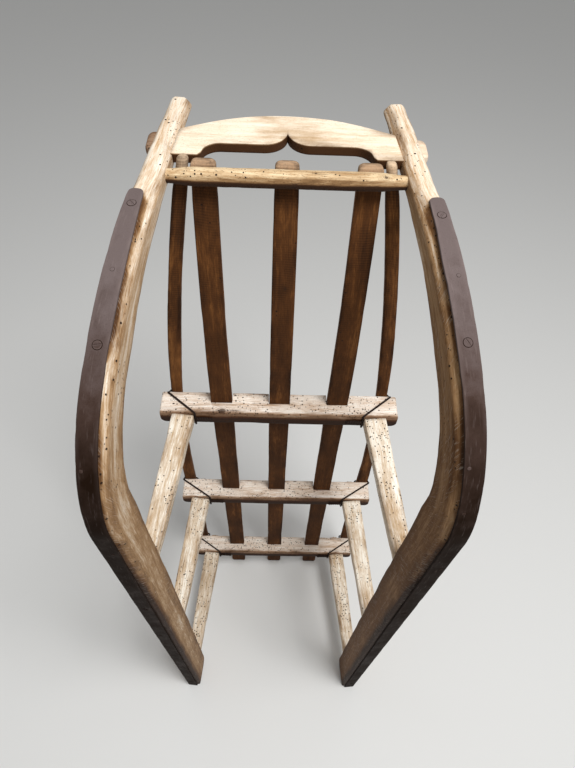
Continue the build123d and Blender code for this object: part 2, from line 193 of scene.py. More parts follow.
def section(a0, a1, b0, b1, radius, flat=0.0):
    """Rings round rectangles from (a0, b0) to (a1, b1). Each corner is its centre plus radius times
    (cos, sin), and each side is shared out evenly between two corners. radius and flat may be four
    numbers, for the corners (a1, b1), (a0, b1), (a0, b0) and (a1, b0). Where flat is 1 the corner is
    the arc's own chord, as a knife leaves it, and where it is 0 the arc."""
    a0, a1, b0, b1 = np.broadcast_arrays(a0, a1, b0, b1)
    radii, flats = (np.broadcast_to(value, (len(a0), 4)) for value in (radius, flat))
    quarter = np.linspace(0, math.pi / 2, CORNER_STEPS + 1)
    share = np.linspace(0, 1, SIDE_STEPS + 2)[1:-1][None, :, None]
    chord = np.linspace(0, 1, CORNER_STEPS + 1)[None, :, None]
    corners = []
    for k, (side_a, side_b) in enumerate(((1, 1), (-1, 1), (-1, -1), (1, -1))):
        r = np.minimum(radii[:, k], MOST_ROUNDING * np.minimum(a1 - a0, b1 - b0))
        centre_a = np.where(side_a > 0, a1 - r, a0 + r)
        centre_b = np.where(side_b > 0, b1 - r, b0 + r)
        angle = quarter + k * math.pi / 2
        arc_a = centre_a[:, None] + r[:, None] * np.cos(angle)
        arc_b = centre_b[:, None] + r[:, None] * np.sin(angle)
        arc = np.stack([arc_a, arc_b], -1)
        straight = arc[:, :1] * (1 - chord) + arc[:, -1:] * chord
        mixing = flats[:, k, None, None]
        corners.append(arc * (1 - mixing) + straight * mixing)
    rings = []
    for here, after in zip(corners, corners[1:] + corners[:1]):
        rings.append(here)
        rings.append(here[:, -1:] * (1 - share) + after[:, :1] * share)
    return np.concatenate(rings, axis=1)


def edge_mask():
    """One for the ring's corner points and 0 for the points on its sides."""
    one = np.concatenate([np.ones(CORNER_STEPS + 1), np.zeros(SIDE_STEPS)])
    return np.tile(one, 4)


# %% [markdown]
# A strip joins the rings of neighbouring stations with quads and closes both ends with a fan.
# Every point also carries its place in the straight timber that the piece was cut from
# (across, deep, along), so that the grain follows a bend, a mark for edges, and a stain that
# says how brown the wood is there, with painted shade added to it on some pieces. One piece
# may hold several strips, such as a post and its tenon.

# %% Strips and pieces
TIMBER_SHIFT = np.array([0.3, 0.7, 1.3])
ATTRIBUTES = (("timber", "FLOAT_VECTOR", "vector"), ("edge", "FLOAT", "value"), ("stain_and_shade", "FLOAT", "value"))


def in_timber(seed, across, deep, along):
    """Places in a piece's timber. Each piece's seed shifts it to a stretch of its own."""
    return np.stack(np.broadcast_arrays(across, deep, along), -1) + seed * TIMBER_SHIFT


def strip(points, timber, edge, stain_and_shade):
    """Rings of points as one closed skin: quads between rings, and a fan round each end's middle."""
    stations, around = points.shape[:2]
    index = np.arange(stations * around).reshape(stations, around)
    right = np.roll(index, -1, axis=1)
    quads = np.stack([index[:-1], right[:-1], right[1:], index[1:]], -1).reshape(-1, 4)
    first, last = stations * around, stations * around + 1
    start_fan = np.stack([right[0], index[0], np.full(around, first)], -1)
    end_fan = np.stack([index[-1], right[-1], np.full(around, last)], -1)

    def close(values):
        flat = values.reshape(stations * around, -1)
        return np.concatenate([flat, values[:1].mean(1), values[-1:].mean(1)])

    edge, stain_and_shade = (np.broadcast_to(value, (stations, around))[..., None] for value in (edge, stain_and_shade))
    faces = [quads, np.concatenate([start_fan, end_fan])]
    return {"points": close(points), "faces": faces, "timber": close(timber),
            "edge": close(edge), "stain_and_shade": close(stain_and_shade)}


def add_object(name, data):
    """An object that shows the data, linked into the scene."""
    made = bpy.data.objects.new(name, data)
    bpy.context.scene.collection.objects.link(made)
    return made


def crosswise(x, y, z, seed, stain_and_shade):
    """A strip from rings of y and z that stand at x, with the grain along x."""
    x = np.broadcast_to(x, y.shape)
    return strip(np.stack([x, y, z], -1), in_timber(seed, z, y, x), edge_mask(), stain_and_shade)


def piece(name, strips, finish, replaced=(), mirrored=False, turned=False):
    """One object from strips in sled axes. A mirrored piece has its x turned over and its faces too.
    turned says that the strips' own faces point inwards, so all of them are turned over."""
    shift, corners, sizes = 0, [], []
    for part in strips:
        for faces in part["faces"]:
            faces = faces[:, ::-1] if mirrored != turned else faces
            corners.append((faces + shift).ravel())
            sizes.append(np.full(len(faces), faces.shape[1]))
        shift += len(part["points"])
    points = np.concatenate([part["points"] for part in strips])
    if mirrored:
        points = points * (-1, 1, 1)
    corners, sizes = np.concatenate(corners), np.concatenate(sizes)
    mesh = bpy.data.meshes.new(name)
    mesh.vertices.add(len(points))
    mesh.vertices.foreach_set("co", stand(points).astype(np.float32).ravel())
    mesh.loops.add(len(corners))
    mesh.loops.foreach_set("vertex_index", corners.astype(np.int32))
    mesh.polygons.add(len(sizes))
    mesh.polygons.foreach_set("loop_start", (np.cumsum(sizes) - sizes).astype(np.int32))
    mesh.polygons.foreach_set("use_smooth", np.ones(len(sizes), bool))
    for key, kind, field in ATTRIBUTES:
        values = np.concatenate([part[key] for part in strips])
        mesh.attributes.new(key, kind, "POINT").data.foreach_set(field, values.astype(np.float32).ravel())
    mesh.update(calc_edges=True)
    mesh.validate()
    mesh.materials.append(finish)
    made = add_object(name, mesh)
    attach(made, "root")
    if replaced:
        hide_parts(*replaced)
    print(name, len(sizes), "faces")


# %% [markdown]
# A finish is a tree of nodes. The class below keeps one material's tree and gives a short
# name to each kind of node, so that a finish reads as a list of layers. A value may be a
# number, a colour or the output of another node.

# %% Layers of a finish
BUMP_DEPTH = 0.0007


def linear(red, green, blue):
    """An 8-bit screen colour as the linear colour that a socket takes."""
    screen = np.array([red, green, blue]) / 255
    return (*np.where(screen < 0.04045, screen / 12.92, ((screen + 0.055) / 1.055) ** 2.4), 1.0)


class Layers:
    """One material and its node tree."""

    def __init__(self, name):
        self.material = bpy.data.materials.new(name)
        self.material.use_nodes = True
        self.tree = self.material.node_tree

    def node(self, kind, sockets, **settings):
        """Adds one node and fills or links its sockets."""
        made = self.tree.nodes.new(kind)
        for key, value in settings.items():
            setattr(made, key, value)
        self.fill(made, sockets)
        return made

    def fill(self, made, sockets):
        """Links a node's sockets to other nodes' outputs, or gives them values."""
        for key, value in sockets.items():
            if isinstance(value, bpy.types.NodeSocket):
                self.tree.links.new(value, made.inputs[key])
            else:
                made.inputs[key].default_value = value

    def attribute(self, name, output="Fac"):
        """One of the mesh's own attributes."""
        return self.node("ShaderNodeAttribute", {}, attribute_name=name).outputs[output]

    def calc(self, operation, *values):
        """One sum, product or other operation on numbers."""
        return self.node("ShaderNodeMath", dict(enumerate(values)), operation=operation).outputs[0]

    def times(self, first, second):
        """The product of two values."""
        return self.calc("MULTIPLY", first, second)

    def centred(self, value, amount):
        """Noise from 0 to 1 as a swing of amount about 0."""
        return self.times(self.calc("SUBTRACT", value, 0.5), amount)

    def weighted(self, *pairs):
        """The sum of values, each multiplied by its weight."""
        total = self.times(*pairs[0])
        for pair in pairs[1:]:
            total = self.calc("ADD", total, self.times(*pair))
        return total

    def vector(self, operation, first, second):
        """One operation on vectors."""
        return self.node("ShaderNodeVectorMath", {0: first, 1: second}, operation=operation).outputs[0]

    def stretched(self, timber, across, deep, along):
        """Timber coordinates multiplied by a factor for each direction."""
        return self.vector("MULTIPLY", timber, (across, deep, along))

    def noise(self, vector, scale, detail=3.0, roughness=0.5):
        """Noise from 0 to 1."""
        sockets = {"Vector": vector, "Scale": scale, "Detail": detail, "Roughness": roughness}
        return self.node("ShaderNodeTexNoise", sockets).outputs["Fac"]

    def grain(self, place, stretch, detail=3.0, roughness=0.5):
        """Noise that is as fine in each direction as its factor is large."""
        return self.noise(self.stretched(place, *stretch), 1.0, detail, roughness)

    def ramp(self, value, start, end, low=0.0, high=1.0):
        """Straight ramp from low at start to high at end, held outside them."""
        sockets = {"Value": value, "From Min": start, "From Max": end, "To Min": low, "To Max": high}
        return self.node("ShaderNodeMapRange", sockets, clamp=True).outputs[0]

    def mix(self, factor, first, second, blend="MIX"):
        """A colour mix: first where factor is 0, second where it is 1."""
        sockets = {0: factor, 6: first, 7: second}
        return self.node("ShaderNodeMix", sockets, data_type="RGBA", blend_type=blend).outputs[2]

    def surface(self, colour, roughness, height, relief, specular, metal=0.0):
        """Joins the layers to the material's own shader and gives the material back."""
        sockets = {"Height": height, "Distance": BUMP_DEPTH, "Strength": relief}
        bump = self.node("ShaderNodeBump", sockets).outputs[0]
        self.fill(self.tree.nodes["Principled BSDF"], {
            "Base Color": colour, "Roughness": roughness, "Normal": bump, "Metallic": metal,
            "Specular IOR Level": specular})
        return self.material


# %% [markdown]
# Weathered wood is built up in layers, as the eye reads it: pale and tan fibres, wider bands
# of growth rings, blotches, a brown stain where hands and age have darkened it and painted
# shade where some pieces' stain is raised, dirt on the edges, thin cracks along the grain, and
# the small dark holes of woodworm. All of them read the timber attribute, so nothing slides
# when the piece bends or the camera moves. A stain of 0 is clean wood, 1 is brown, more than 1
# is nearly black, and less than 0 is end grain, made paler than its own colour as painted
# light on front ends that lie in shade.

# %% Wood finish
HOLE_SPACING = 0.0040
HOLE_RADIUS = 0.00072
NEARLY_BLACK, END_GRAIN_AND_PAINTED_LIGHT = linear(46, 25, 11), linear(220, 196, 166)
KNOT_HEART, CRACK, HOLE = linear(58, 36, 20), linear(62, 42, 28), linear(40, 26, 17)


def knot(layers, timber, centre, radius, colour, brown):
    """A dark core with rings round it, longer along the grain: a sine of the distance from it."""
    from_centre = layers.stretched(layers.vector("SUBTRACT", timber, tuple(centre)), 1, 1, 0.6)
    reach = layers.node("ShaderNodeVectorMath", {0: from_centre}, operation="LENGTH").outputs["Value"]
    apart = layers.calc("ADD", reach, layers.centred(layers.noise(timber, 260), 0.5 * radius))
    rings = layers.ramp(layers.calc("SINE", layers.times(apart, 22 / radius)), -0.2, 0.9)
    rings = layers.times(rings, layers.ramp(apart, 0.4 * radius, 1.7 * radius, 0.6, 0.0))
    colour = layers.mix(rings, colour, brown)
    return layers.mix(layers.ramp(apart, 0.25 * radius, 0.6 * radius, 0.85, 0.0), colour, KNOT_HEART)


def worm_holes(layers, timber, holes, spacing):
    """Dark spots at the middles of random cells: 1 inside a hole. Holes crowd where a wide noise
    is high, and each cell's own random colour says whether it has a hole, and how wide."""
    sockets = {"Vector": timber, "Scale": 1 / spacing, "Randomness": 1.0}
    cells = layers.node("ShaderNodeTexVoronoi", sockets, distance="EUCLIDEAN")
    lots = layers.node("ShaderNodeSeparateColor", {0: cells.outputs["Color"]})
    crowd = layers.grain(timber, (26, 26, 13), 1)
    chance = layers.times(layers.ramp(crowd, 0.40, 0.58, 0.12, 1.0), holes)
    keep = layers.calc("LESS_THAN", lots.outputs[0], chance)
    widest = HOLE_RADIUS / spacing
    reach = layers.ramp(lots.outputs[1], 0.0, 1.0, 0.6 * widest, 1.35 * widest)
    apart = layers.calc("DIVIDE", cells.outputs["Distance"], reach)
    return layers.times(layers.ramp(apart, 1.0, 1.5, 1.0, 0.0), keep)


def wood(name, pale, tan, brown, holes=0.5, flecks=1.0, saw=0.0, cracks=0.5, gloss=0.3, dirt=0.5,
         rays=0.0, knots=(), spacing=HOLE_SPACING):
    """Old wood in three screen colours. holes, flecks, saw marks, cracks, dirt and rays say how strong
    each layer is. A knot is a place in the timber and a radius."""
    layers = Layers(name)
    pale, tan, brown = (linear(*colour) for colour in (pale, tan, brown))
    timber, stain_and_shade = layers.attribute("timber", "Vector"), layers.attribute("stain_and_shade")
    warp = layers.grain(timber, (14, 14, 3), 2)
    bent = layers.vector("ADD", timber, layers.centred(warp, 0.02))
    fibre = layers.grain(bent, (1300, 1300, 34), 2, 0.6)
    fleck = layers.grain(bent, (640, 640, 62), 3, 0.7)
    band = layers.grain(bent, (150, 150, 5), 3, 0.55)
    patch = layers.grain(timber, (34, 34, 13), 5, 0.62)

    tone = layers.weighted((fleck, 0.30), (fibre, 0.26), (band, 0.24), (patch, 0.2))
    width = 0.115 / flecks
    colour = layers.mix(layers.ramp(tone, 0.5 - width, 0.5 + width), pale, tan)
    # age starts from the stain, so it carries painted shade as well as real browning.
    age_and_shade = stain_and_shade
    for layer, amount in ((patch, 1.0), (fleck, 0.9 * flecks), (band, 0.8 * flecks)):
        age_and_shade = layers.calc("ADD", age_and_shade, layers.centred(layer, amount))
    colour = layers.mix(layers.ramp(age_and_shade, 0.05, 0.60), colour, layers.mix(0.45, tan, brown))
    colour = layers.mix(layers.ramp(age_and_shade, 0.50, 1.10), colour, brown)
    # Above 1 the stain turns nearly black: dirt, and painted shade on the beams' undersides, the board's
    # near edge, the rod's lowest side and the runners' soles.
    colour = layers.mix(layers.ramp(stain_and_shade, 1.05, 1.9), colour, NEARLY_BLACK)
    # Below 0 the stain turns to pale end grain, whose colour is lifted as painted light for front ends that
    # lie in shade.
    colour = layers.mix(layers.ramp(stain_and_shade, -0.3, -1.1, 0.0, 0.95), colour, END_GRAIN_AND_PAINTED_LIGHT)
    if rays:
        parts = layers.node("ShaderNodeSeparateXYZ", {0: bent}).outputs
        slid = layers.calc("ADD", parts[2], layers.times(parts[1], 1.3))
        slanted = layers.node("ShaderNodeCombineXYZ", {0: parts[0], 1: parts[1], 2: slid}).outputs[0]
        dashes = layers.grain(slanted, (120, 110, 820), 2, 0.6)
        shown = layers.ramp(patch, 0.45, 0.60, 0.15 * rays, rays)
        colour = layers.mix(layers.times(layers.ramp(dashes, 0.56, 0.68), shown), colour, pale)
    for centre, radius in knots:
        colour = knot(layers, timber, centre, radius, colour, brown)
    dirty = layers.times(layers.attribute("edge"), layers.ramp(patch, 0.44, 0.66, 0.0, dirt))
    colour = layers.mix(dirty, colour, brown, "MULTIPLY")
    speck = layers.grain(timber, (900, 900, 500), 2, 0.7)
    colour = layers.mix(layers.ramp(speck, 0.58, 0.70, 0.0, 0.9 * dirt), colour, brown)

    teeth = {"Vector": layers.stretched(bent, 0.15, 0.15, 1), "Scale": 95.0, "Distortion": 1.2,
             "Detail": 2.0}
    marks = layers.node("ShaderNodeTexWave", teeth, bands_direction="Z").outputs["Fac"]
    marks = layers.times(marks, layers.ramp(patch, 0.42, 0.58, 0.2 * saw, saw))
    colour = layers.mix(marks, colour, brown, "MULTIPLY")

    split = layers.grain(bent, (190, 190, 3), 1)
    split = layers.ramp(layers.calc("ABSOLUTE", layers.calc("SUBTRACT", split, 0.5)), 0.0, 0.010, 1.0, 0.0)
    split = layers.times(split, layers.ramp(patch, 0.50, 0.60, 0.0, cracks))
    colour = layers.mix(split, colour, CRACK)
    hole = worm_holes(layers, timber, holes, spacing)
    colour = layers.mix(hole, colour, HOLE)

    height = layers.weighted((tone, 0.7), (split, -1.2), (hole, -2.0))
    roughness = layers.ramp(tone, 0.3, 0.7, 0.88 - gloss, 1.0 - gloss)
    return layers.surface(colour, roughness, height, relief=0.55, specular=0.14)


BEAM_KNOTS = [(in_timber(31, 0.6780, 0.004, -0.087), 0.0085), (in_timber(38, 0.381, 0.022, 0.101), 0.0032)]
ROD_KNOTS = [(in_timber(113, -0.004, 0.009, 0.102), 0.0035)]
SLAT_KNOTS = [(in_timber(86, 0.002, 0.0, 0.945), 0.0045), (in_timber(81, -0.006, 0.0, 0.60), 0.0040)]
PALE_WOOD = wood("pale_wood", (238, 231, 217), (205, 168, 124), (106, 72, 40), rays=0.35)
POST_WOOD = wood("post_wood", (248, 244, 233), (209, 178, 138), (108, 72, 40), holes=1.0)
BEAM_WOOD = wood("beam_wood", (247, 242, 233), (198, 164, 132), (84, 50, 26), holes=0.75, cracks=1.0,
                 knots=BEAM_KNOTS, spacing=0.0034)
BOARD_WOOD = wood("board_wood", (250, 244, 231), (216, 182, 138), (92, 60, 34), holes=0.02, flecks=0.5,
                  cracks=0.1)
ROD_WOOD = wood("rod_wood", (227, 208, 172), (184, 144, 98), (66, 42, 24), holes=0.6, cracks=1.0,
                dirt=0.8, knots=ROD_KNOTS)
DARK_WOOD = wood("dark_wood", (144, 95, 49), (106, 64, 29), (56, 32, 14), holes=0.04, saw=0.35,
                 gloss=0.12, knots=SLAT_KNOTS)
PEG_WOOD = wood("peg_wood", (238, 222, 200), (202, 172, 142), (96, 64, 42), holes=0.2)

# %% [markdown]
# The straps are old flat iron: purple-grey where the snow has rubbed it, brown with rust in
# patches, and brighter on the worn edges. The wire is annealed iron gone black.

# %% Iron finishes
SCRATCH, WORN_EDGE = linear(146, 132, 128), linear(132, 118, 114)


def iron(name, clean, rust, dark, scale, metal):
    """Rusted iron: a clean colour that a stain turns to rust, cloudy patches, dark pits and pale
    scratches."""
    layers = Layers(name)
    clean, rust, dark = (linear(*colour) for colour in (clean, rust, dark))
    place, stain_and_shade = layers.attribute("timber", "Vector"), layers.attribute("stain_and_shade")
    cloud = layers.noise(place, scale * 0.5, detail=5, roughness=0.6)
    drag = layers.grain(place, (scale * 14, scale * 14, scale * 1.2), 2)
    grit = layers.noise(place, scale * 16, detail=3, roughness=0.7)
    age_and_shade = layers.calc("ADD", layers.centred(cloud, 0.9), stain_and_shade)
    colour = layers.mix(layers.ramp(age_and_shade, 0.10, 0.62), clean, rust)
    colour = layers.mix(layers.ramp(age_and_shade, 0.55, 1.05), colour, dark)
    colour = layers.mix(layers.ramp(grit, 0.55, 0.72, 0.0, 0.35), colour, dark)
    colour = layers.mix(layers.ramp(drag, 0.60, 0.78, 0.0, 0.16), colour, SCRATCH)
    worn = layers.times(layers.attribute("edge"), layers.ramp(cloud, 0.46, 0.62, 0.05, 0.45))
    worn = layers.times(worn, layers.ramp(stain_and_shade, 0.2, 0.9, 1.0, 0.1))
    colour = layers.mix(worn, colour, WORN_EDGE)
    height = layers.weighted((grit, 0.35), (cloud, 0.8))
    roughness = layers.ramp(cloud, 0.35, 0.7, 0.58, 0.82)
    return layers.surface(colour, roughness, height, relief=0.45, specular=0.04, metal=metal)


SHOE_IRON = iron("shoe_iron", (103, 91, 89), (64, 49, 43), (29, 17, 9), scale=60, metal=0.03)
WIRE_IRON = iron("wire_iron", (48, 39, 35), (40, 29, 24), (22, 17, 15), scale=240, metal=0.12)

# %% [markdown]
# A runner's outline is lines and arcs. A point that walks a given length while its heading
# turns at an even rate draws each of them, and complex numbers make that one short formula:
# depth above the sole is the real part, and length along the runner the imaginary part.


# %% Walked arcs
UP = math.pi / 2
ALMOST_STRAIGHT = 1e-9


def walk(start, heading, length, turn, steps):
    """Points from start: start + length * e^(i heading) * (e^(i turn t) - 1) / (i turn), or a line."""
    t = np.linspace(0, 1, steps)
    if abs(turn) < ALMOST_STRAIGHT:
        return start + length * np.exp(1j * heading) * t
    return start + length * np.exp(1j * heading) * (np.exp(1j * turn * t) - 1) / (1j * turn)


def walk_to(start, heading, end, steps):
    """The arc that leaves start along heading and reaches end: it turns by twice the chord's angle."""
    chord = end - start
    half = np.angle(chord * np.exp(-1j * heading))
    length = abs(chord) * half / math.sin(half) if abs(half) > ALMOST_STRAIGHT else abs(chord)
    return walk(start, heading, length, 2 * half, steps), heading + 2 * half


# %% [markdown]
# The runner is a plank sawn to follow the tree's own curve. Its sole line and its deck-side
# line are walked with the same number of steps, and a rounded section is stretched between
# each pair of points. The tail is sawn off with one rounded corner, and the horn's tip is
# worn to a dome. The stain adds up what darkens a plank: hands on its inner face, with painted
# shade added on the right runner's inner face, mud at its tail, and painted shade, partly dirt,
# on the sole's bevel low down and in a line on the wood beside the iron.

# %% Runner lines
RUNNER_DEPTH = 0.055
TAIL_CORNER = 0.018
HORN_REACH = 0.172
INNER_BEND_RADIUS, INNER_BEND_TURN = 0.112, math.radians(55)
HORN_ROOT_DEPTH = 0.032
HORN_TIP_DEPTH, HORN_TIP_SETBACK = 0.017, 0.0015
SHOE_SWEEP_TURN = math.radians(29.5)
SHOE_LENGTH = BEND_START + BEND_RADIUS * BEND_TURN + SWEEP_RADIUS * SHOE_SWEEP_TURN
STEPS = {"corner": 12, "straight": 60, "bend": 26, "sweep": 30, "horn": 30}


def runner_lines():
    """Sole line and deck-side line of a runner, as depth + i * length, with equal numbers of points."""
    corner = TAIL_CORNER * (1 - np.cos(np.linspace(0, UP, STEPS["corner"])))
    length = np.concatenate([corner[:-1], np.linspace(TAIL_CORNER, BEND_START, STEPS["straight"])])
    sole = 1j * length
    deck = RUNNER_DEPTH - end_round(length, TAIL_CORNER) + 1j * length
    bend = walk(sole[-1], UP, BEND_RADIUS * BEND_TURN, -BEND_TURN, STEPS["bend"])
    sweep = walk(bend[-1], UP - BEND_TURN, SWEEP_RADIUS * SWEEP_TURN, -SWEEP_TURN, STEPS["sweep"])
    horn = walk(sweep[-1], 0, HORN_REACH, 0, STEPS["horn"])
    inner_bend = walk(deck[-1], UP, INNER_BEND_RADIUS * INNER_BEND_TURN, -INNER_BEND_TURN, STEPS["bend"])
    root = sweep[-1] - 1j * HORN_ROOT_DEPTH
    inner_sweep, heading = walk_to(inner_bend[-1], UP - INNER_BEND_TURN, root, STEPS["sweep"])
    under_tip = horn[-1] - HORN_TIP_SETBACK - 1j * HORN_TIP_DEPTH
    inner_horn = walk_to(root, heading, under_tip, STEPS["horn"])[0]
    sole = np.concatenate([sole, bend[1:], sweep[1:], horn[1:]])
    deck = np.concatenate([deck, inner_bend[1:], inner_sweep[1:], inner_horn[1:]])
    return sole, deck


SOLE_LINE, DECK_LINE = runner_lines()
MIDDLE_LENGTH = walked((SOLE_LINE + DECK_LINE) / 2)
SHOE_STOPS = np.interp(SHOE_LENGTH, walked(SOLE_LINE), MIDDLE_LENGTH)
print("runner length", round(MIDDLE_LENGTH[-1], 4))

# %% Runners
RUNNER_EDGE, BEVEL = 0.0036, 0.0062
TIP_FULLNESS, TIP_NARROWING = 0.0075, 0.0060
TIP_ANGLES = np.linspace(0, 1.25, 9)[1:]
TAIL_EDGE, TAIL_EDGE_RUN = 0.0012, 0.0022


def runner(seed, inner_brown_and_shade):
    """Rounded sections stretched from the sole line to the deck-side line, with a domed tip. The last
    argument says how brown the inner face is: its own brown and, on the right runner, painted shade."""
    sole, deck, along = SOLE_LINE, DECK_LINE, MIDDLE_LENGTH
    forward = (sole[-1] - sole[-2]) / abs(sole[-1] - sole[-2])
    middle, half = (sole[-1] + deck[-1]) / 2, (sole[-1] - deck[-1]) / 2
    pushed, opened = forward * TIP_FULLNESS * np.sin(TIP_ANGLES), half * np.cos(TIP_ANGLES)
    sole = np.concatenate([sole, middle + opened + pushed])
    deck = np.concatenate([deck, middle - opened + pushed])
    along = np.concatenate([along, along[-1] + TIP_FULLNESS * np.sin(TIP_ANGLES)])
    tip = np.concatenate([np.zeros(len(SOLE_LINE)), TIP_ANGLES])
    depth = np.abs(deck - sole)

    blunt = TAIL_EDGE * (1 - smooth(along, 0.0, TAIL_EDGE_RUN))
    narrowing = TIP_NARROWING * (1 - np.cos(tip)) + blunt
    inner = -RUNNER_THICKNESS + narrowing + shaving(along, seed, 0.45, 0.0007)
    outer = -narrowing - shaving(along, seed + 1, 0.35, 0.0006)
    radius = RUNNER_EDGE * (1 + 0.25 * wobble(along, seed + 2, 0.12, 1.0))
    shaved = smooth(along, 0.55, 0.80)
    at_rod = 1 - smooth(np.abs(sole.real - in_plank(ROD_Y)), 0.014, 0.045)
    bevel = BEVEL * shaved * (1 - 0.85 * at_rod) * (1 + 0.18 * wobble(along, seed + 3, 0.16, 1.0))
    outside = radius + 0.0015 * smooth(along, 1.10, 1.25)
    radii = np.stack([outside, outside, radius + bevel, radius + 0.003 * shaved], -1)
    flats = shaved[:, None] * (0, 0.5, 0.85, 0.4)
    ring = section(blunt, depth - blunt, inner, outer, radii, flats)
    from_sole, across = ring[..., 0], ring[..., 1]
    share = from_sole / depth[:, None]
    plane = sole[:, None] * (1 - share) + deck[:, None] * share
    points = in_runner(across, plane.real, plane.imag)

    along = along[:, None]
    up_the_horn = smooth(along, 0.86, 1.36)
    low = 1 - smooth(along, 0.70, 0.98)
    shod = 1 - smooth(along, SHOE_STOPS - 0.012, SHOE_STOPS - 0.004)
    sole_dirt_and_shade = 1 - smooth(share, 0.02, 0.12)
    shade_beside_shoe = 1 - smooth(from_sole, 0.0026, 0.0046)
    # The inner face's brown: partly its own, and partly painted shade where the factor is larger.
    stain_and_shade = inner_brown_and_shade * smooth(-across, 0.014, 0.0245) * (1 - 0.45 * up_the_horn)
    stain_and_shade = stain_and_shade + 0.22 * smooth(share, 0.5, 1.0) * (1 - up_the_horn) + 0.14 * low
    # Painted shade, partly dirt: the sole's bevel low down goes nearly black, and a dark line is painted on
    # the wood beside the shoe.
    stain_and_shade = stain_and_shade + np.maximum(1.5 * sole_dirt_and_shade * low, 1.1 * shade_beside_shoe * shod)
    stain_and_shade = stain_and_shade + 0.22 * (1 - smooth(along, 0.0, 0.20)) + 0.40 * (1 - smooth(along, 0.0, 0.022))
    # The first term is painted shade along the wood next to the shoe's inner edge.
    stain_and_shade = stain_and_shade + 0.14 * (1 - smooth(share, 0.10, 0.34)) * (1 - up_the_horn) + 0.07 * up_the_horn
    stain_and_shade = stain_and_shade + 0.35 * (1 - smooth(-across, 0.0, 0.002)) * low
    return strip(points, in_timber(seed, across, share * RUNNER_DEPTH, along), edge_mask(), stain_and_shade)


# The right runner's inner face looks away from the lamp and gets more stain as painted shade.
for side, seed, inner_brown_and_shade in (("right", 3, 0.90), ("left", 11, 0.50)):
    piece("runner_wood_" + side, [runner(seed, inner_brown_and_shade)], PALE_WOOD, ["runner_" + side],
          mirrored=side == "left")

# %% [markdown]
# Each shoe is a flat iron strap bent round the sole, a little narrower than the plank, so a
# line of wood shows beside it. Its front end is cut round. The strap lies between the sole line
# and the same line moved outwards by its thickness. Slotted screws hold it where it bends and at
# both ends, and small nails between them. A screw's head is a low dome in a countersink, so it
# hardly stands out. The snow keeps the front of the strap clean, and rust takes the rest.

# %% Iron shoes
SHOE_FRONT_WIDTH, SHOE_TAPER = 0.0155, 0.080
SHOE_EDGE = 0.0007
SHOE_STEPS = {"straight": 140, "bend": 60, "sweep": 70, "nose": 12}
SHOE_RUST, RUBBED_OFF = 1.08, 1.03
CLEAN_START, CLEAN_END = 0.87, 1.21


def shoe_line(offset):
    """The sole's line, bend and part of its sweep, moved outwards by offset."""
    straight = -offset + 1j * np.linspace(0, BEND_START, SHOE_STEPS["straight"])
    bend = walk(straight[-1], UP, (BEND_RADIUS + offset) * BEND_TURN, -BEND_TURN, SHOE_STEPS["bend"])
    sweep_length = (SWEEP_RADIUS + offset) * SHOE_SWEEP_TURN
    sweep = walk(bend[-1], UP - BEND_TURN, sweep_length, -SHOE_SWEEP_TURN, SHOE_STEPS["sweep"])
    return np.concatenate([straight, bend[1:], sweep[1:]])


def at(places, along, line):
    """Points of a line, whose points lie at along, at other places on it."""
    return np.interp(places, along, line.real) + 1j * np.interp(places, along, line.imag)


def rust(along, darkest=SHOE_RUST):
    """Stain of the strap: darkest at the tail, and rubbed off towards the front."""
    return darkest - RUBBED_OFF * smooth(along, CLEAN_START, CLEAN_END)


def shoe(seed):
    """A thin rounded section carried along the sole. At the front its width follows a squared round:
    the cube of the width and the cube of the length left add up to a constant."""
    inside, outside = shoe_line(0.0), shoe_line(SHOE_THICKNESS)
    along = walked(inside)
    nose = SHOE_FRONT_WIDTH / 2
    fine = along[-1] - nose * (1 - np.cos(np.linspace(UP, 0.12, SHOE_STEPS["nose"])))
    stations = np.concatenate([along[along[-1] - along > nose], fine])
    left = np.maximum(along[-1] - stations, 1e-5)
    width = SHOE_WIDTH + (SHOE_FRONT_WIDTH - SHOE_WIDTH) * np.clip(1 - left / SHOE_TAPER, 0, 1)
    middle = -width / 2
    rounded = nose * (1 - np.clip(1 - left / nose, 0, 1) ** 3) ** (1 / 3)
    half = np.where(left < nose, rounded, width / 2) - shaving(stations, seed, 0.09, 0.0004)
    ring = section(0, SHOE_THICKNESS, middle - half, middle + half, SHOE_EDGE)
    share = ring[..., 0] / SHOE_THICKNESS
    on_wood, on_snow = (at(stations, along, line)[:, None] for line in (inside, outside))
    plane = on_wood * (1 - share) + on_snow * share
    points = in_runner(ring[..., 1], plane.real, plane.imag)
    timber = in_timber(0, ring[..., 1], ring[..., 0], stations[:, None]) + seed
    return strip(points, timber, edge_mask(), rust(stations)[:, None])


# %% Screws and nails
SCREW_RADIUS, SCREW_RISE, SLOT_WIDTH, SLOT_DEPTH = 0.0046, 0.0005, 0.0011, 0.0005
NAIL_RADIUS, NAIL_RISE = 0.0021, 0.0004
HEAD_SIDES = 48
HEAD_RINGS = np.array([1.06, 1.0, 0.93, 0.86, 0.74, 0.60, 0.46, 0.32, 0.18, 0.08])[:, None]
COUNTERSINK, RIM_LIFT, SLOT_FLOOR = -0.0004, 0.00008, -0.0003
DEEP_RUST = 1.5
SCREWS = {"right": [(1.2215, 0.9), (1.0860, 2.1), (0.62, 0.4), (0.045, 1.3)],
          "left": [(1.2255, 0.75), (1.0755, 2.9), (0.62, 1.8), (0.045, 0.2)]}
NAILS = {"right": [(-0.0075, 1.1506), (-0.0150, 0.9760), (-0.0140, 0.9269), (-0.0060, 0.80),
                   (-0.0130, 0.44), (-0.0080, 0.24)],
         "left": [(-0.0090, 1.1470), (-0.0050, 0.9645), (-0.0130, 0.83), (-0.0070, 0.47),
                  (-0.0120, 0.22)]}


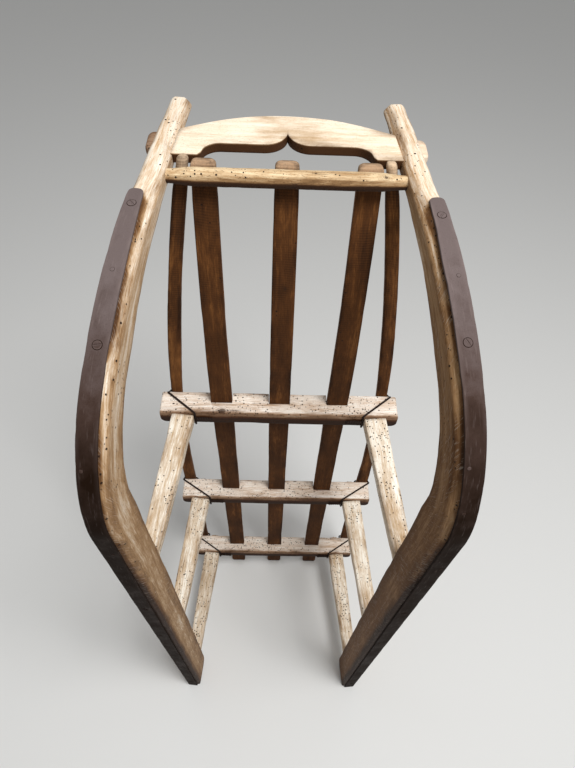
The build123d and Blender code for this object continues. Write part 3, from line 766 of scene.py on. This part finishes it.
def on_shoe(across, along):
    """The shoe's outer surface at a place, with the directions across, along and out of it."""
    path = shoe_line(SHOE_THICKNESS)
    here, ahead = (in_runner(across, spot.real, spot.imag)
                   for spot in (at(along + step, walked(path), path) for step in (0.0, 0.001)))
    forward = (ahead - here) / np.linalg.norm(ahead - here)
    sideways = in_runner(1.0, 0.0, 0.0) - in_runner(0.0, 0.0, 0.0)
    out = np.cross(sideways, forward)
    return here, sideways, forward, out if out[1] < 0 else -out


def head(across, along, radius, rise, age_and_shade, turn=0.0, slot_width=0.0):
    """A round head in the shoe: rings over a low dome, rise * sqrt(1 - share squared). A slot is the
    strip where the dome is pushed in."""
    here, sideways, forward, out = on_shoe(across, along)
    circle = np.linspace(0, 2 * math.pi, HEAD_SIDES, endpoint=False)
    u, v = radius * HEAD_RINGS * np.cos(circle), radius * HEAD_RINGS * np.sin(circle)
    lift = rise * np.sqrt(np.clip(1 - HEAD_RINGS ** 2, 0, 1)) + 0 * u
    lift[0], lift[1] = COUNTERSINK, RIM_LIFT
    stain_and_shade = np.where(HEAD_RINGS > 0.9, DEEP_RUST, age_and_shade) + 0 * u
    if slot_width:
        from_slot = np.abs(u * math.sin(turn) - v * math.cos(turn))
        pushed = 1 - smooth(from_slot, slot_width * 0.4, slot_width * 0.7)
        lift = np.maximum(lift - (rise + SLOT_DEPTH) * pushed * (HEAD_RINGS < 0.9), SLOT_FLOOR)
        stain_and_shade = np.where(from_slot < slot_width * 0.6, DEEP_RUST, stain_and_shade)
    points = here + u[..., None] * sideways + v[..., None] * forward + lift[..., None] * out
    rim = (HEAD_RINGS > 0.7) & (HEAD_RINGS < 0.9)
    return strip(points, points, 0.6 * rim, stain_and_shade)


for k, side in enumerate(("right", "left")):
    strips = [shoe(21 + k)]
    for along, turn in SCREWS[side]:
        across = -(SHOE_WIDTH - 0.003 * smooth(along, 1.15, 1.23)) / 2
        strips.append(head(across, along, SCREW_RADIUS, SCREW_RISE, rust(along, 1.12), turn, SLOT_WIDTH))
    for across, along in NAILS[side]:
        age_and_shade = 0.85 - 0.95 * smooth(along, 0.87, 1.15)
        strips.append(head(across, along, NAIL_RADIUS, NAIL_RISE, age_and_shade))
    piece("shoe_strap_" + side, strips, SHOE_IRON, ["iron_shoe_" + side],
          mirrored=side == "left")

# %% [markdown]
# Three crossbeams tie the posts together. Their front edge below is worn round, the ends are
# rounded in plan, and three notches on the deck side take the slats. A beam is carried along
# x, and a notch is a place where the section's top steps down between two close stations.
# The underside is darker, partly dirt and partly painted shade, and nearly black towards the back.

# %% Crossbeams
BEAM_HEIGHT = 0.038
BEAM_THICKNESS = 0.028
BEAM_FRONTS = {"front": 0.679, "middle": 0.381, "rear": 0.080}
POST_TOP_WIDTH = 0.034
POST_SHIFT = 0.004
BEAM_OVERHANG = 0.0176
POST_X = outside_x(0) - RUNNER_THICKNESS / 2 + POST_SHIFT
BEAM_HALF = POST_X + POST_TOP_WIDTH / 2 + BEAM_OVERHANG
SLAT_WIDTH, SLAT_FRONT_WIDTH = 0.032, 0.0265
SLAT_THICKNESS = 0.012
RAIL_HEIGHT = 0.014
RAIL_WIDTH, RAIL_FRONT_WIDTH = 0.020, 0.0125
RAIL_HORN_GAP, SLAT_RAIL_GAP = 0.007, 0.0008
ROD_RADIUS = 0.010
ROD_SEAT_GAP = 0.0004
DECK_SEAT_Y = ROD_Y + ROD_RADIUS + ROD_SEAT_GAP
RAIL_FRONT_X = inside_x(DECK_SEAT_Y + RAIL_HEIGHT) - RAIL_HORN_GAP
SLAT_PITCH = RAIL_FRONT_X - RAIL_FRONT_WIDTH - SLAT_FRONT_WIDTH / 2 - SLAT_RAIL_GAP
SLAT_PLACES = {"left": -SLAT_PITCH, "middle": 0.0, "right": SLAT_PITCH}
NOTCH_HALF, NOTCH_STEP = SLAT_WIDTH / 2 + 0.0002, 0.0004
REAR_END_RADIUS, FRONT_END_RADIUS = 0.009, 0.003
BEAM_EDGE, NOTCH_EDGE, BEAM_REAR_EDGE, BEAM_WORN_EDGE = 0.0022, 0.0006, 0.002, 0.0036


def beam(front, seed):
    """Sections carried along x, set back at the rounded ends and stepped down in the notches."""
    half = BEAM_HALF
    ends = half - REAR_END_RADIUS * (1 - np.cos(np.linspace(0.1, UP, 10)))
    marks = [np.linspace(-half + REAR_END_RADIUS, half - REAR_END_RADIUS, 70), ends, -ends]
    walls = (-NOTCH_HALF - NOTCH_STEP, -NOTCH_HALF, NOTCH_HALF, NOTCH_HALF + NOTCH_STEP)
    marks += [x + np.array(walls) for x in SLAT_PLACES.values()]
    along = np.unique(np.concatenate(marks))
    notched = sum(np.abs(along - x) < NOTCH_HALF + 1e-5 for x in SLAT_PLACES.values()) > 0
    top = np.where(notched, SLAT_UNDERSIDE, BEAM_HEIGHT - shaving(along, seed, 0.15, 0.0006))
    distance = half - np.abs(along)
    rear = front - BEAM_THICKNESS + end_round(distance, REAR_END_RADIUS)
    face = front - end_round(distance, FRONT_END_RADIUS) - shaving(along, seed + 1, 0.2, 0.0007)
    bottom = shaving(along, seed + 2, 0.25, 0.0008)
    worn = BEAM_WORN_EDGE + wobble(along, seed + 3, 0.10, 0.0012)
    sharp = np.where(notched, NOTCH_EDGE, BEAM_EDGE)
    radius = np.stack([sharp, sharp, np.full(len(along), BEAM_REAR_EDGE), worn], -1)
    ring = section(rear, face, bottom, top, radius)
    z, y = ring[..., 0], ring[..., 1]
    # Painted shade, partly dirt: the underside darkens, most towards the back, and the back part a little.
    dirt_and_shade_behind = smooth(front - z, 0.005, 0.026)
    stain_and_shade = (1 - smooth(y, 0.0005, 0.0045)) * (0.70 + 2.00 * dirt_and_shade_behind) + 0.22 * dirt_and_shade_behind
    return crosswise(along[:, None], y, z, seed, stain_and_shade)


for k, (place, front) in enumerate(BEAM_FRONTS.items()):
    strips = [beam(front, 31 + 7 * k)]
    piece("beam_" + place, strips, BEAM_WOOD, ["crossbeam_" + place], turned=True)

# %% [markdown]
# The posts lean with the runners. Each is a tapered bar with rounded edges that stands on the
# runner, and its tenon goes right through the beam and shows on the deck side, with a small
# wedge driven into its end.

# %% Posts
POST_FOOT_WIDTH = 0.025
POST_THICKNESS = 0.019
POST_GAP = 0.0001
TENON_WIDTH, TENON_THICKNESS, TENON_PROUD, TENON_HIDDEN = 0.016, 0.011, 0.005, 0.012
TENON_CHAMFER_DEPTH, TENON_CHAMFER = (0.0016, 0.0006), (0.0004, 0.0014)
WEDGE_HALF_WIDTH, WEDGE_HALF_LENGTH, WEDGE_CHAMFER = 0.0009, 0.0048, 0.0003
WEDGE_HEIGHTS = (-0.004, 0.0004, 0.0007)
FOOT_TENON_WIDTH, FOOT_TENON_DEPTH, FOOT_TENON_INSET = 0.012, 0.026, 0.002
POST_EDGE, TENON_EDGE, FOOT_EDGE, WEDGE_EDGE = 0.0026, 0.0012, 0.0006, 0.0003


def bar(middle_x, half_x, depth, middle_z, half_z, radius, seed, stain_and_shade):
    """A rounded bar along the depth axis of the runner's plane; every size may change along it."""
    ring = section(middle_z - half_z, middle_z + half_z, middle_x - half_x, middle_x + half_x, radius)
    z, across = ring[..., 0], ring[..., 1]
    deep = np.broadcast_to(depth[:, None], z.shape)
    return strip(in_runner(across, deep, z), in_timber(seed, across, z, deep), edge_mask(), stain_and_shade)


def post(front, seed):
    """The leg, its through tenon with a wedge, and its foot tenon, as separate strips."""
    middle_z = front - BEAM_THICKNESS / 2
    centre = -RUNNER_THICKNESS / 2 + POST_SHIFT
    top = in_plank(0) - POST_GAP
    depth = np.linspace(RUNNER_DEPTH + POST_GAP, top, 40)
    share = (depth - RUNNER_DEPTH) / (top - RUNNER_DEPTH)
    width = POST_FOOT_WIDTH + (POST_TOP_WIDTH - POST_FOOT_WIDTH) * share
    half_x = width / 2 - shaving(depth, seed, 0.16, 0.0007)
    half_z = POST_THICKNESS / 2 - shaving(depth, seed + 1, 0.12, 0.0005)
    leg = bar(centre, half_x, depth, middle_z, half_z, POST_EDGE, seed, 0.16 + 0.12 * (1 - share)[:, None])
    tenon_top = in_plank(BEAM_HEIGHT + TENON_PROUD)
    chamfered = [tenon_top - down for down in TENON_CHAMFER_DEPTH]
    depth = np.array([in_plank(-TENON_HIDDEN), *chamfered, tenon_top])
    shrink = np.array([0, 0, *TENON_CHAMFER])
    tenon = bar(centre, TENON_WIDTH / 2 - shrink, depth, middle_z, TENON_THICKNESS / 2 - shrink, TENON_EDGE,
                seed, 0.55)
    depth = tenon_top + np.array(WEDGE_HEIGHTS)
    half_x = WEDGE_HALF_WIDTH - np.array([0, 0, WEDGE_CHAMFER])
    wedge = bar(centre, half_x, depth, middle_z, WEDGE_HALF_LENGTH, WEDGE_EDGE, seed, 0.95)
    foot_top = in_plank(SOLE_Y + RUNNER_DEPTH * math.cos(CANT) + FOOT_TENON_DEPTH / 2)
    depth = np.array([RUNNER_DEPTH - FOOT_TENON_DEPTH / math.cos(CANT), foot_top])
    foot = bar(-RUNNER_THICKNESS / 2, FOOT_TENON_WIDTH / 2, depth, middle_z,
               POST_THICKNESS / 2 - FOOT_TENON_INSET + 0 * depth, FOOT_EDGE, seed, 0.3)
    return [leg, tenon, wedge, foot]


for k, (place, front) in enumerate(BEAM_FRONTS.items()):
    for side in ("right", "left"):
        name = place + "_" + side
        strips = post(front, 51 + 9 * k + 4 * (side == "left"))
        piece("post_leg_" + name, strips, POST_WOOD, ["post_" + name], mirrored=side == "left")

# %% [markdown]
# Three slats make the deck. They lie flat in the beams' notches and then bend up on to the
# front rod, getting narrower, with their front ends cut round. The side towards the snow has
# gone dark brown, and the side that people sat on is lighter.

# %% Deck slats
SLAT_BEND_START = 0.700
SLAT_FRONT_Z = ROD_Z + 0.010
SLAT_CUT, SLAT_TAIL_CUT = 0.006, 0.0015
SLAT_EDGE = 0.0018


def rise_line(start_y, bend_start, tail_z, front_z, steps=90):
    """A level line at start_y that turns up in one arc and lies on the rod at the rod's place."""
    run = ROD_Z - bend_start
    radius = arc_radius(run, DECK_SEAT_Y - start_y)
    turn = math.asin(run / radius)
    flat = start_y + 1j * np.linspace(tail_z, bend_start, steps)
    arc = walk(flat[-1], UP, radius * turn, -turn, steps // 2)
    end = walk(arc[-1], UP - turn, front_z - ROD_Z, 0, 24)
    return np.concatenate([flat, arc[1:], end[1:]])


def on_line(line, middle_x, ring, seed, top, under, end, end_starts):
    """Sections carried along a line: each point is the line's plus its height times the direction
    square to the line. top is the stain of the upper face, under what the lower face adds to it, and
    end the end grain's, pale and partly painted light, which takes over between two distances from the
    front."""
    high, across = ring[..., 0], ring[..., 1]
    heading = np.gradient(line)
    plane = line[:, None] + (heading / np.abs(heading) * np.exp(-0.5j * math.pi))[:, None] * high
    points = np.stack([middle_x + across, plane.real, plane.imag], -1)
    along = walked(line)[:, None]
    weathered = smooth(along - along[-1], -end_starts[0], -end_starts[1])
    stain_and_shade = (top + under * (1 - smooth(high, 0.0, 0.010))) * (1 - weathered) + end * weathered
    return strip(points, in_timber(seed, across, high, along), edge_mask(), stain_and_shade)


def slat(x, seed):
    """A flat section carried along the rising line, narrower in front, with cut corners at both ends."""
    line = rise_line(SLAT_UNDERSIDE, SLAT_BEND_START, -SLAT_OVERHANG, SLAT_FRONT_Z)
    along = walked(line)
    to_front = along[-1] - along
    narrow = smooth(line.imag, SLAT_BEND_START - 0.1, SLAT_FRONT_Z + 0.1)
    full = SLAT_WIDTH + (SLAT_FRONT_WIDTH - SLAT_WIDTH) * narrow
    cut = end_round(to_front, SLAT_CUT) + end_round(along, SLAT_TAIL_CUT)
    half = full / 2 - cut * 0.9 - shaving(along, seed, 0.3, 0.0005)
    thin = 0.0016 * (1 - smooth(to_front, 0, 0.004)) + 0.0008 * (1 - smooth(along, 0, 0.0015))
    ring = section(thin, SLAT_THICKNESS - thin, -half, half, SLAT_EDGE)
    return on_line(line, x, ring, seed, 0.15, 0.55, -0.64, (0.013, 0.006))


for k, (place, x) in enumerate(SLAT_PLACES.items()):
    strips = [slat(x, 81 + 5 * k)]
    piece("slat_" + place, strips, DARK_WOOD, ["deck_slat_" + place], turned=True)

# %% [markdown]
# The two side rails are shaved sticks that lie on the beams' ends. Seen from above they bow
# inwards towards the horns, and seen from the side they rise to the rod like the slats. They
# have rounded edges all along, and only their front ends are nearly round.

# %% Side rails
RAIL_OUTER_REAR = BEAM_HALF - 0.0005
RAIL_BOW_START = 0.372
RAIL_TAIL_Z, RAIL_FRONT_Z = -0.012, ROD_Z + 0.014
RAIL_RISE_START = 0.700
RAIL_BOW_RUN = RAIL_FRONT_Z - RAIL_BOW_START
RAIL_BOW_RADIUS = arc_radius(RAIL_BOW_RUN, RAIL_OUTER_REAR - RAIL_FRONT_X)
RAIL_CUT, RAIL_TAIL_CUT = 0.005, 0.003
RAIL_EDGE, RAIL_END_EDGE = 0.0030, 0.0060
RAIL_FULLNESS = 0.0014


def rail_outer(z):
    """X of the rail's outer side: straight, then an arc that is tangent to it."""
    along = np.maximum(0.0, z - RAIL_BOW_START)
    return RAIL_OUTER_REAR - RAIL_BOW_RADIUS + np.sqrt(RAIL_BOW_RADIUS ** 2 - along ** 2)


def rail_width(z):
    """The rail's width, which shrinks evenly along the bow."""
    share = np.maximum(0.0, z - RAIL_BOW_START) / RAIL_BOW_RUN
    return RAIL_WIDTH + (RAIL_FRONT_WIDTH - RAIL_WIDTH) * share


def rail(seed):
    """A rounded section carried along the rising line and moved inwards along the bow."""
    line = rise_line(BEAM_HEIGHT, RAIL_RISE_START, RAIL_TAIL_Z, RAIL_FRONT_Z - 0.001)
    along = walked(line)
    to_front = along[-1] - along
    half = rail_width(line.imag) / 2
    middle = rail_outer(line.imag) - half
    cut = end_round(to_front, RAIL_CUT) * 0.8 + end_round(along, RAIL_TAIL_CUT) * 0.6
    fuller = RAIL_FULLNESS * smooth(line.imag, 0.66, 0.80) * smooth(to_front, 0.010, 0.040)
    half = half + fuller - cut - shaving(along, seed, 0.2, 0.0005)
    low = cut * 0.7 + 0.0001
    high = RAIL_HEIGHT - cut * 0.7 - shaving(along, seed + 1, 0.25, 0.0006)
    radius = RAIL_EDGE + (RAIL_END_EDGE - RAIL_EDGE) * (1 - smooth(to_front, 0.010, 0.035))
    ring = section(low, high, -half, half, radius[:, None])
    # The front end's stain of -0.95 makes it pale end grain: painted light on an end that lies in the
    # board's shade.
    return on_line(line, middle[:, None], ring, seed, 0.2, 0.35, -0.95, (0.022, 0.014))


for side, seed in (("right", 101), ("left", 107)):
    piece("rail_" + side, [rail(seed)], DARK_WOOD, ["side_rail_" + side],
          mirrored=side == "left", turned=True)

# %% [markdown]
# The front rod is a stick shaved round with a knife, so its section is a circle with a slow
# ripple, and it thins towards the ends that sit in the horns.

# %% Front rod
ROD_END_RADIUS = 0.0075
ROD_TAPER = 0.030
ROD_SOCKET = 0.016
ROD_SIDES, ROD_STATIONS = 40, 150
ROD_SHAVED = 0.00028
SHADE_ANGLE = math.radians(36)


def rod(seed):
    """Circles along x whose radius falls near the ends, with ripples round and along the rod."""
    face = inside_x(ROD_Y)
    end = face + ROD_SOCKET
    shown = np.linspace(-face + 0.0005, face - 0.0005, ROD_STATIONS)
    along = np.concatenate([[-end, -face], shown, [face, end]])
    radius = ROD_END_RADIUS + (ROD_RADIUS - ROD_END_RADIUS) * smooth(face - np.abs(along), 0.0, ROD_TAPER)
    angle = np.linspace(0, 2 * math.pi, ROD_SIDES, endpoint=False)
    facets = 0.00018 * np.cos(9 * angle[None] + 5 * along[:, None]) + 0.0001 * np.cos(4 * angle[None] + 2)
    ripple = shaving(along, seed, 0.08, 0.0003)[:, None]
    inside = (np.abs(along) < face)[:, None]
    grown = radius[:, None] - np.where(inside, ROD_SHAVED + facets + ripple, 0.0)
    y, z = grown * np.cos(angle), grown * np.sin(angle)
    x = np.broadcast_to(along[:, None], y.shape)
    points = np.stack([x, ROD_Y + y, ROD_Z + z], -1)
    # Painted shade, partly dirt: the stain rises on the side turned down by SHADE_ANGLE and is darkest at
    # the bottom.
    dirt_and_shade_facing = -np.cos(angle - SHADE_ANGLE)
    stain_and_shade = 0.12 + 0.35 * smooth(dirt_and_shade_facing, 0.0, 0.5) + 1.0 * smooth(dirt_and_shade_facing, 0.62, 0.9)
    return strip(points, in_timber(seed, y, z, x), 0.0, stain_and_shade)


piece("front_stick", [rod(113)], ROD_WOOD, ["front_rod"], turned=True)

# %% [markdown]
# The carved board closes the front. Its far edge is one shallow arch. Its near edge steps up
# from a flat foot to a shelf and then to a point in the middle. Both edges are functions of x,
# so the board is carried along x too, and its tenons come out through the horns as knobs.

# %% Front board
BOARD_FRONT_Z = HORN_Z - 0.00315
BOARD_THICKNESS = 0.012
BOARD_END_Y = DECK_SEAT_Y + RAIL_HEIGHT + 0.0022
BOARD_END_WIDTH = 0.047
BOARD_ARCH = 0.032
BOARD_FOOT, BOARD_STEP, BOARD_STEP_RUN = 0.023, 0.022, 0.020
BOARD_PEAK, BOARD_PEAK_RUN = 0.022, 0.026
BOARD_EDGE = 0.0011
BOARD_SIDE_GAP = 0.002
SLANT_RUN, BOARD_IN_HORN = 0.018, 0.0012
BOARD_HALF = inside_x(BOARD_END_Y + BOARD_END_WIDTH) - BOARD_SIDE_GAP
BOARD_FOOT_X = BOARD_HALF - BOARD_FOOT
BOARD_TENON_WIDTH, BOARD_TENON_PROUD, BOARD_TENON_HIDDEN = 0.032, 0.0068, 0.008
KNOB_TURN, KNOB_ROUND, KNOB_EDGE = 1.2, 0.0075, 0.0022


def board_edges(x):
    """Near and far edge of the board at x."""
    off = np.abs(x)
    radius = arc_radius(BOARD_HALF, BOARD_ARCH)
    far = BOARD_END_Y + BOARD_END_WIDTH + np.sqrt(radius ** 2 - x ** 2) - (radius - BOARD_ARCH)
    drop = arc_height(BOARD_STEP_RUN, BOARD_STEP, off - (BOARD_FOOT_X - BOARD_STEP_RUN))
    near = np.where(off > BOARD_FOOT_X, BOARD_END_Y, BOARD_END_Y + BOARD_STEP - drop)
    near = near + arc_height(BOARD_PEAK_RUN, BOARD_PEAK, BOARD_PEAK_RUN - off) * (off < BOARD_PEAK_RUN)
    return near, far


def board(seed):
    """Sections between the two edges carried along x. Near each end x is stretched, more where the
    board is nearer to the deck, so that the end follows the horn's leaning inner face into it."""
    half = np.concatenate([
        np.linspace(0, BOARD_PEAK_RUN, 24),
        np.linspace(BOARD_PEAK_RUN, BOARD_FOOT_X - BOARD_STEP_RUN, 20)[1:],
        BOARD_FOOT_X - BOARD_STEP_RUN * np.cos(np.linspace(0, UP, 16))[1:],
        np.linspace(BOARD_FOOT_X, BOARD_HALF, 8)[1:]])
    along = np.unique(np.concatenate([-half, half]))
    near, far = board_edges(along)
    front = BOARD_FRONT_Z - shaving(along, seed, 0.3, 0.0004)
    ring = section(near, far, BOARD_FRONT_Z - BOARD_THICKNESS, front, BOARD_EDGE)
    x, y, z = along[:, None], ring[..., 0], ring[..., 1]
    at_end = np.clip((np.abs(x) - BOARD_HALF + SLANT_RUN) / SLANT_RUN, 0, 1)
    x = x + np.sign(x) * at_end * (inside_x(y) + BOARD_IN_HORN - BOARD_HALF)
    # Painted shade: the face along the near edge is painted nearly black, and the board's middle a little
    # darker.
    shaded_near_edge = 1 - smooth((y - near[:, None]) / (far - near)[:, None], 0.0, 0.02)
    stain_and_shade = 1.5 * shaded_near_edge * smooth(BOARD_FRONT_Z - z, 0.0003, 0.0022)
    stain_and_shade = np.maximum(stain_and_shade, 0.26 * (1 - smooth(np.abs(x), 0.015, 0.060)))
    return crosswise(x, y, z, seed, stain_and_shade)


def board_knob(seed, stain_and_shade):
    """The right-hand tenon's end: a rounded section carried out of the horn and domed."""
    middle = BOARD_END_Y + BOARD_END_WIDTH / 2
    outer = outside_x(middle)
    turn = np.linspace(0, KNOB_TURN, 8)[1:]
    domed = outer + BOARD_TENON_PROUD * np.sin(turn) / math.sin(KNOB_TURN)
    along = np.concatenate([[inside_x(middle) + BOARD_TENON_HIDDEN, outer], domed])
    shrink = np.concatenate([[0, 0], KNOB_ROUND * (1 - np.cos(turn))])
    half_y = BOARD_TENON_WIDTH / 2 - shrink
    back, front = BOARD_FRONT_Z - BOARD_THICKNESS + shrink * 0.5, BOARD_FRONT_Z - shrink * 0.5
    ring = section(middle - half_y, middle + half_y, back, front, KNOB_EDGE)
    return crosswise(along[:, None], ring[..., 0], ring[..., 1], seed, stain_and_shade)


piece("carved_board", [board(127)], BOARD_WOOD, ["front_board"])
for side, seed, stain_and_shade in (("right", 131, -0.1), ("left", 137, 0.8)):
    piece("board_knob_" + side, [board_knob(seed, stain_and_shade)], PEG_WOOD, mirrored=side == "left")

# %% [markdown]
# One iron wire at each beam end goes round the rail, the beam and the inner side of the post.
# Its path is a closed polygon whose corners are softened by a running average, and its tube
# is a circle turned so that it always faces out of the loop. Below the beam its two ends are
# wound round each other, as helices half a turn apart.

# %% Wire lashings
WIRE_RADIUS = 0.0015
WIRE_OFF = WIRE_RADIUS + 0.00015
WIRE_FOOT = POST_X - POST_TOP_WIDTH / 2 - WIRE_OFF
WIRE_SIDES, WIRE_STATIONS = 12, 260
SOFTENING = np.arange(-4, 5)
WIRE_TURNS, WIRE_CROSSES = 0.006, 0.020
TWIST_TURNS, TWIST_RADIUS, TWIST_STATIONS = 3.2, 0.0014, 60
TWIST_START, TWIST_LENGTH, TWIST_DROP = 0.001, 0.024, 0.0012


def tube(path, outwards, radius, closed):
    """Circles round a path: one axis is the outward direction made square to the path, one is across."""
    step = np.roll(path, -1, 0) - np.roll(path, 1, 0) if closed else np.gradient(path, axis=0)
    tangent = step / np.linalg.norm(step, axis=1, keepdims=True)
    first = outwards - (outwards * tangent).sum(1, keepdims=True) * tangent
    first /= np.linalg.norm(first, axis=1, keepdims=True)
    second = np.cross(tangent, first)
    angle = np.linspace(0, 2 * math.pi, WIRE_SIDES, endpoint=False)[None, :, None]
    return path[:, None] + radius * (first[:, None] * np.cos(angle) + second[:, None] * np.sin(angle))


def loop_skin(points):
    """A closed tube's skin: the last ring joins the first, so there are no end fans."""
    stations, around = points.shape[:2]
    index = np.arange(stations * around).reshape(stations, around)
    right, after = np.roll(index, -1, 1), np.roll(index, -1, 0)
    quads = np.stack([index, right, np.roll(right, -1, 0), after], -1).reshape(-1, 4)
    flat = points.reshape(-1, 3)
    zero = np.zeros((len(flat), 1))
    return {"points": flat, "faces": [quads], "timber": flat, "edge": zero, "stain_and_shade": zero + 0.3}


def wire_loop(front):
    """The loop's corners, walked at an even pace and softened by a bell-shaped average."""
    rear = front - BEAM_THICKNESS
    outside = rail_outer(rear) + WIRE_OFF
    inside = rail_outer(front) - rail_width(front) - WIRE_OFF
    over = BEAM_HEIGHT + RAIL_HEIGHT + WIRE_OFF
    corners = np.array([
        (WIRE_FOOT, -WIRE_OFF, front + WIRE_OFF),
        (outside, BEAM_HEIGHT - 2 * WIRE_RADIUS, front + WIRE_OFF),
        (outside, BEAM_HEIGHT + WIRE_RADIUS, front - WIRE_TURNS),
        (outside, over, front - WIRE_CROSSES),
        (inside, over, rear - WIRE_OFF),
        (inside, BEAM_HEIGHT, rear - WIRE_OFF),
        (WIRE_FOOT, -WIRE_OFF, rear - WIRE_OFF)])
    closed = np.concatenate([corners, corners[:1]])
    length = walked(closed)
    pace = np.linspace(0, length[-1], WIRE_STATIONS, endpoint=False)
    path = np.stack([np.interp(pace, length, closed[:, k]) for k in range(3)], -1)
    weights = np.exp(-(SOFTENING / 2.0) ** 2 / 2)
    weights /= weights.sum()
    return sum(weight * np.roll(path, shift, 0) for shift, weight in zip(SOFTENING, weights))


def twist(front, seed):
    """Two wires wound round each other under the beam, along a slightly bent axis."""
    t = np.linspace(0, 1, TWIST_STATIONS)
    along_x = WIRE_FOOT - TWIST_START - TWIST_LENGTH * t
    along_z = front - BEAM_THICKNESS / 2 + 0.004 * t - 0.005 * t * t
    axis = np.stack([along_x, -WIRE_OFF - TWIST_DROP + 0 * t, along_z], -1)
    made = []
    for phase in (0, math.pi):
        angle = 2 * math.pi * TWIST_TURNS * t + phase + seed
        out = np.stack([0 * t, np.cos(angle), np.sin(angle)], -1)
        rings = tube(axis + TWIST_RADIUS * out, out, WIRE_RADIUS * 0.95, closed=False)
        made.append(strip(rings, rings, 0.0, 0.4))
    return made


for k, (place, front) in enumerate(BEAM_FRONTS.items()):
    for side in ("right", "left"):
        path = wire_loop(front)
        rings = tube(path, path - path.mean(0), WIRE_RADIUS, closed=True)
        strips = [loop_skin(rings)] + twist(front, k)
        name = place + "_" + side
        piece("wire_" + name, strips, WIRE_IRON, ["wire_lashing_" + name],
              mirrored=side == "left")

# %% [markdown]
# The photograph was taken from above with a phone held over the horns, so the camera looks
# down by about 47 degrees. It stands where lines drawn back from the picture meet.

# %% Camera
PHOTO_WIDTH = 575
FOCAL_PIXELS = 576
CAMERA_PLACE = (-0.0077, -0.4801, 1.3747)
CAMERA_TURN = (42.7724, -1.8405, 0.1453)
lens = bpy.data.cameras.new("camera")
lens.sensor_fit = "HORIZONTAL"
lens.sensor_width = 36.0
lens.lens = lens.sensor_width * FOCAL_PIXELS / PHOTO_WIDTH
lens.clip_start = 0.02
camera = add_object("camera", lens)
camera.location = CAMERA_PLACE
camera.rotation_euler = [math.radians(turn) for turn in CAMERA_TURN]
bpy.context.scene.camera = camera

# %% [markdown]
# The light is a bright sky seen mostly from one side: a dim even world and one large soft lamp
# high on the right, so the faces that look up or to the right are bright, and the beams'
# undersides and the right runner's inner face are dark. The floor is pale and plain.

# %% Light and floor
WORLD_STRENGTH = 0.34
LAMP_PLACE, LAMP_AIM = np.array([0.7, -0.9, 3.0]), np.array([0, 0, 0.6])
LAMP_SIZE, LAMP_POWER = 0.9, 71
FLOOR_HALF = 6.0
FLOOR_GAP = 0.0005
bpy.context.scene.view_settings.view_transform = "Standard"
world = bpy.data.worlds.new("sky")
bpy.context.scene.world = world
world.use_nodes = True
background = world.node_tree.nodes["Background"]
background.inputs["Color"].default_value = (1.0, 1.0, 1.0, 1.0)
background.inputs["Strength"].default_value = WORLD_STRENGTH

glow = bpy.data.lights.new("key", "AREA")
glow.size = LAMP_SIZE
glow.energy = LAMP_POWER
lamp = add_object("key", glow)
lamp.location = LAMP_PLACE
away = LAMP_PLACE - LAMP_AIM
lamp.rotation_euler = (math.atan2(math.hypot(away[0], away[1]), away[2]), 0, math.atan2(away[0], -away[1]))

floor_mesh = bpy.data.meshes.new("floor")
corners = [(x * FLOOR_HALF, y * FLOOR_HALF, 0) for x, y in ((-1, -1), (1, -1), (1, 1), (-1, 1))]
floor_mesh.from_pydata(corners, [], [(0, 1, 2, 3)])
floor = add_object("floor", floor_mesh)
floor.location.z = float(cad_low.z) - FLOOR_GAP
floor_finish = bpy.data.materials.new("floor_finish")
floor_finish.use_nodes = True
floor_shader = floor_finish.node_tree.nodes["Principled BSDF"]
floor_shader.inputs["Base Color"].default_value = linear(226, 226, 224)
floor_shader.inputs["Roughness"].default_value = 0.9
floor_mesh.materials.append(floor_finish)
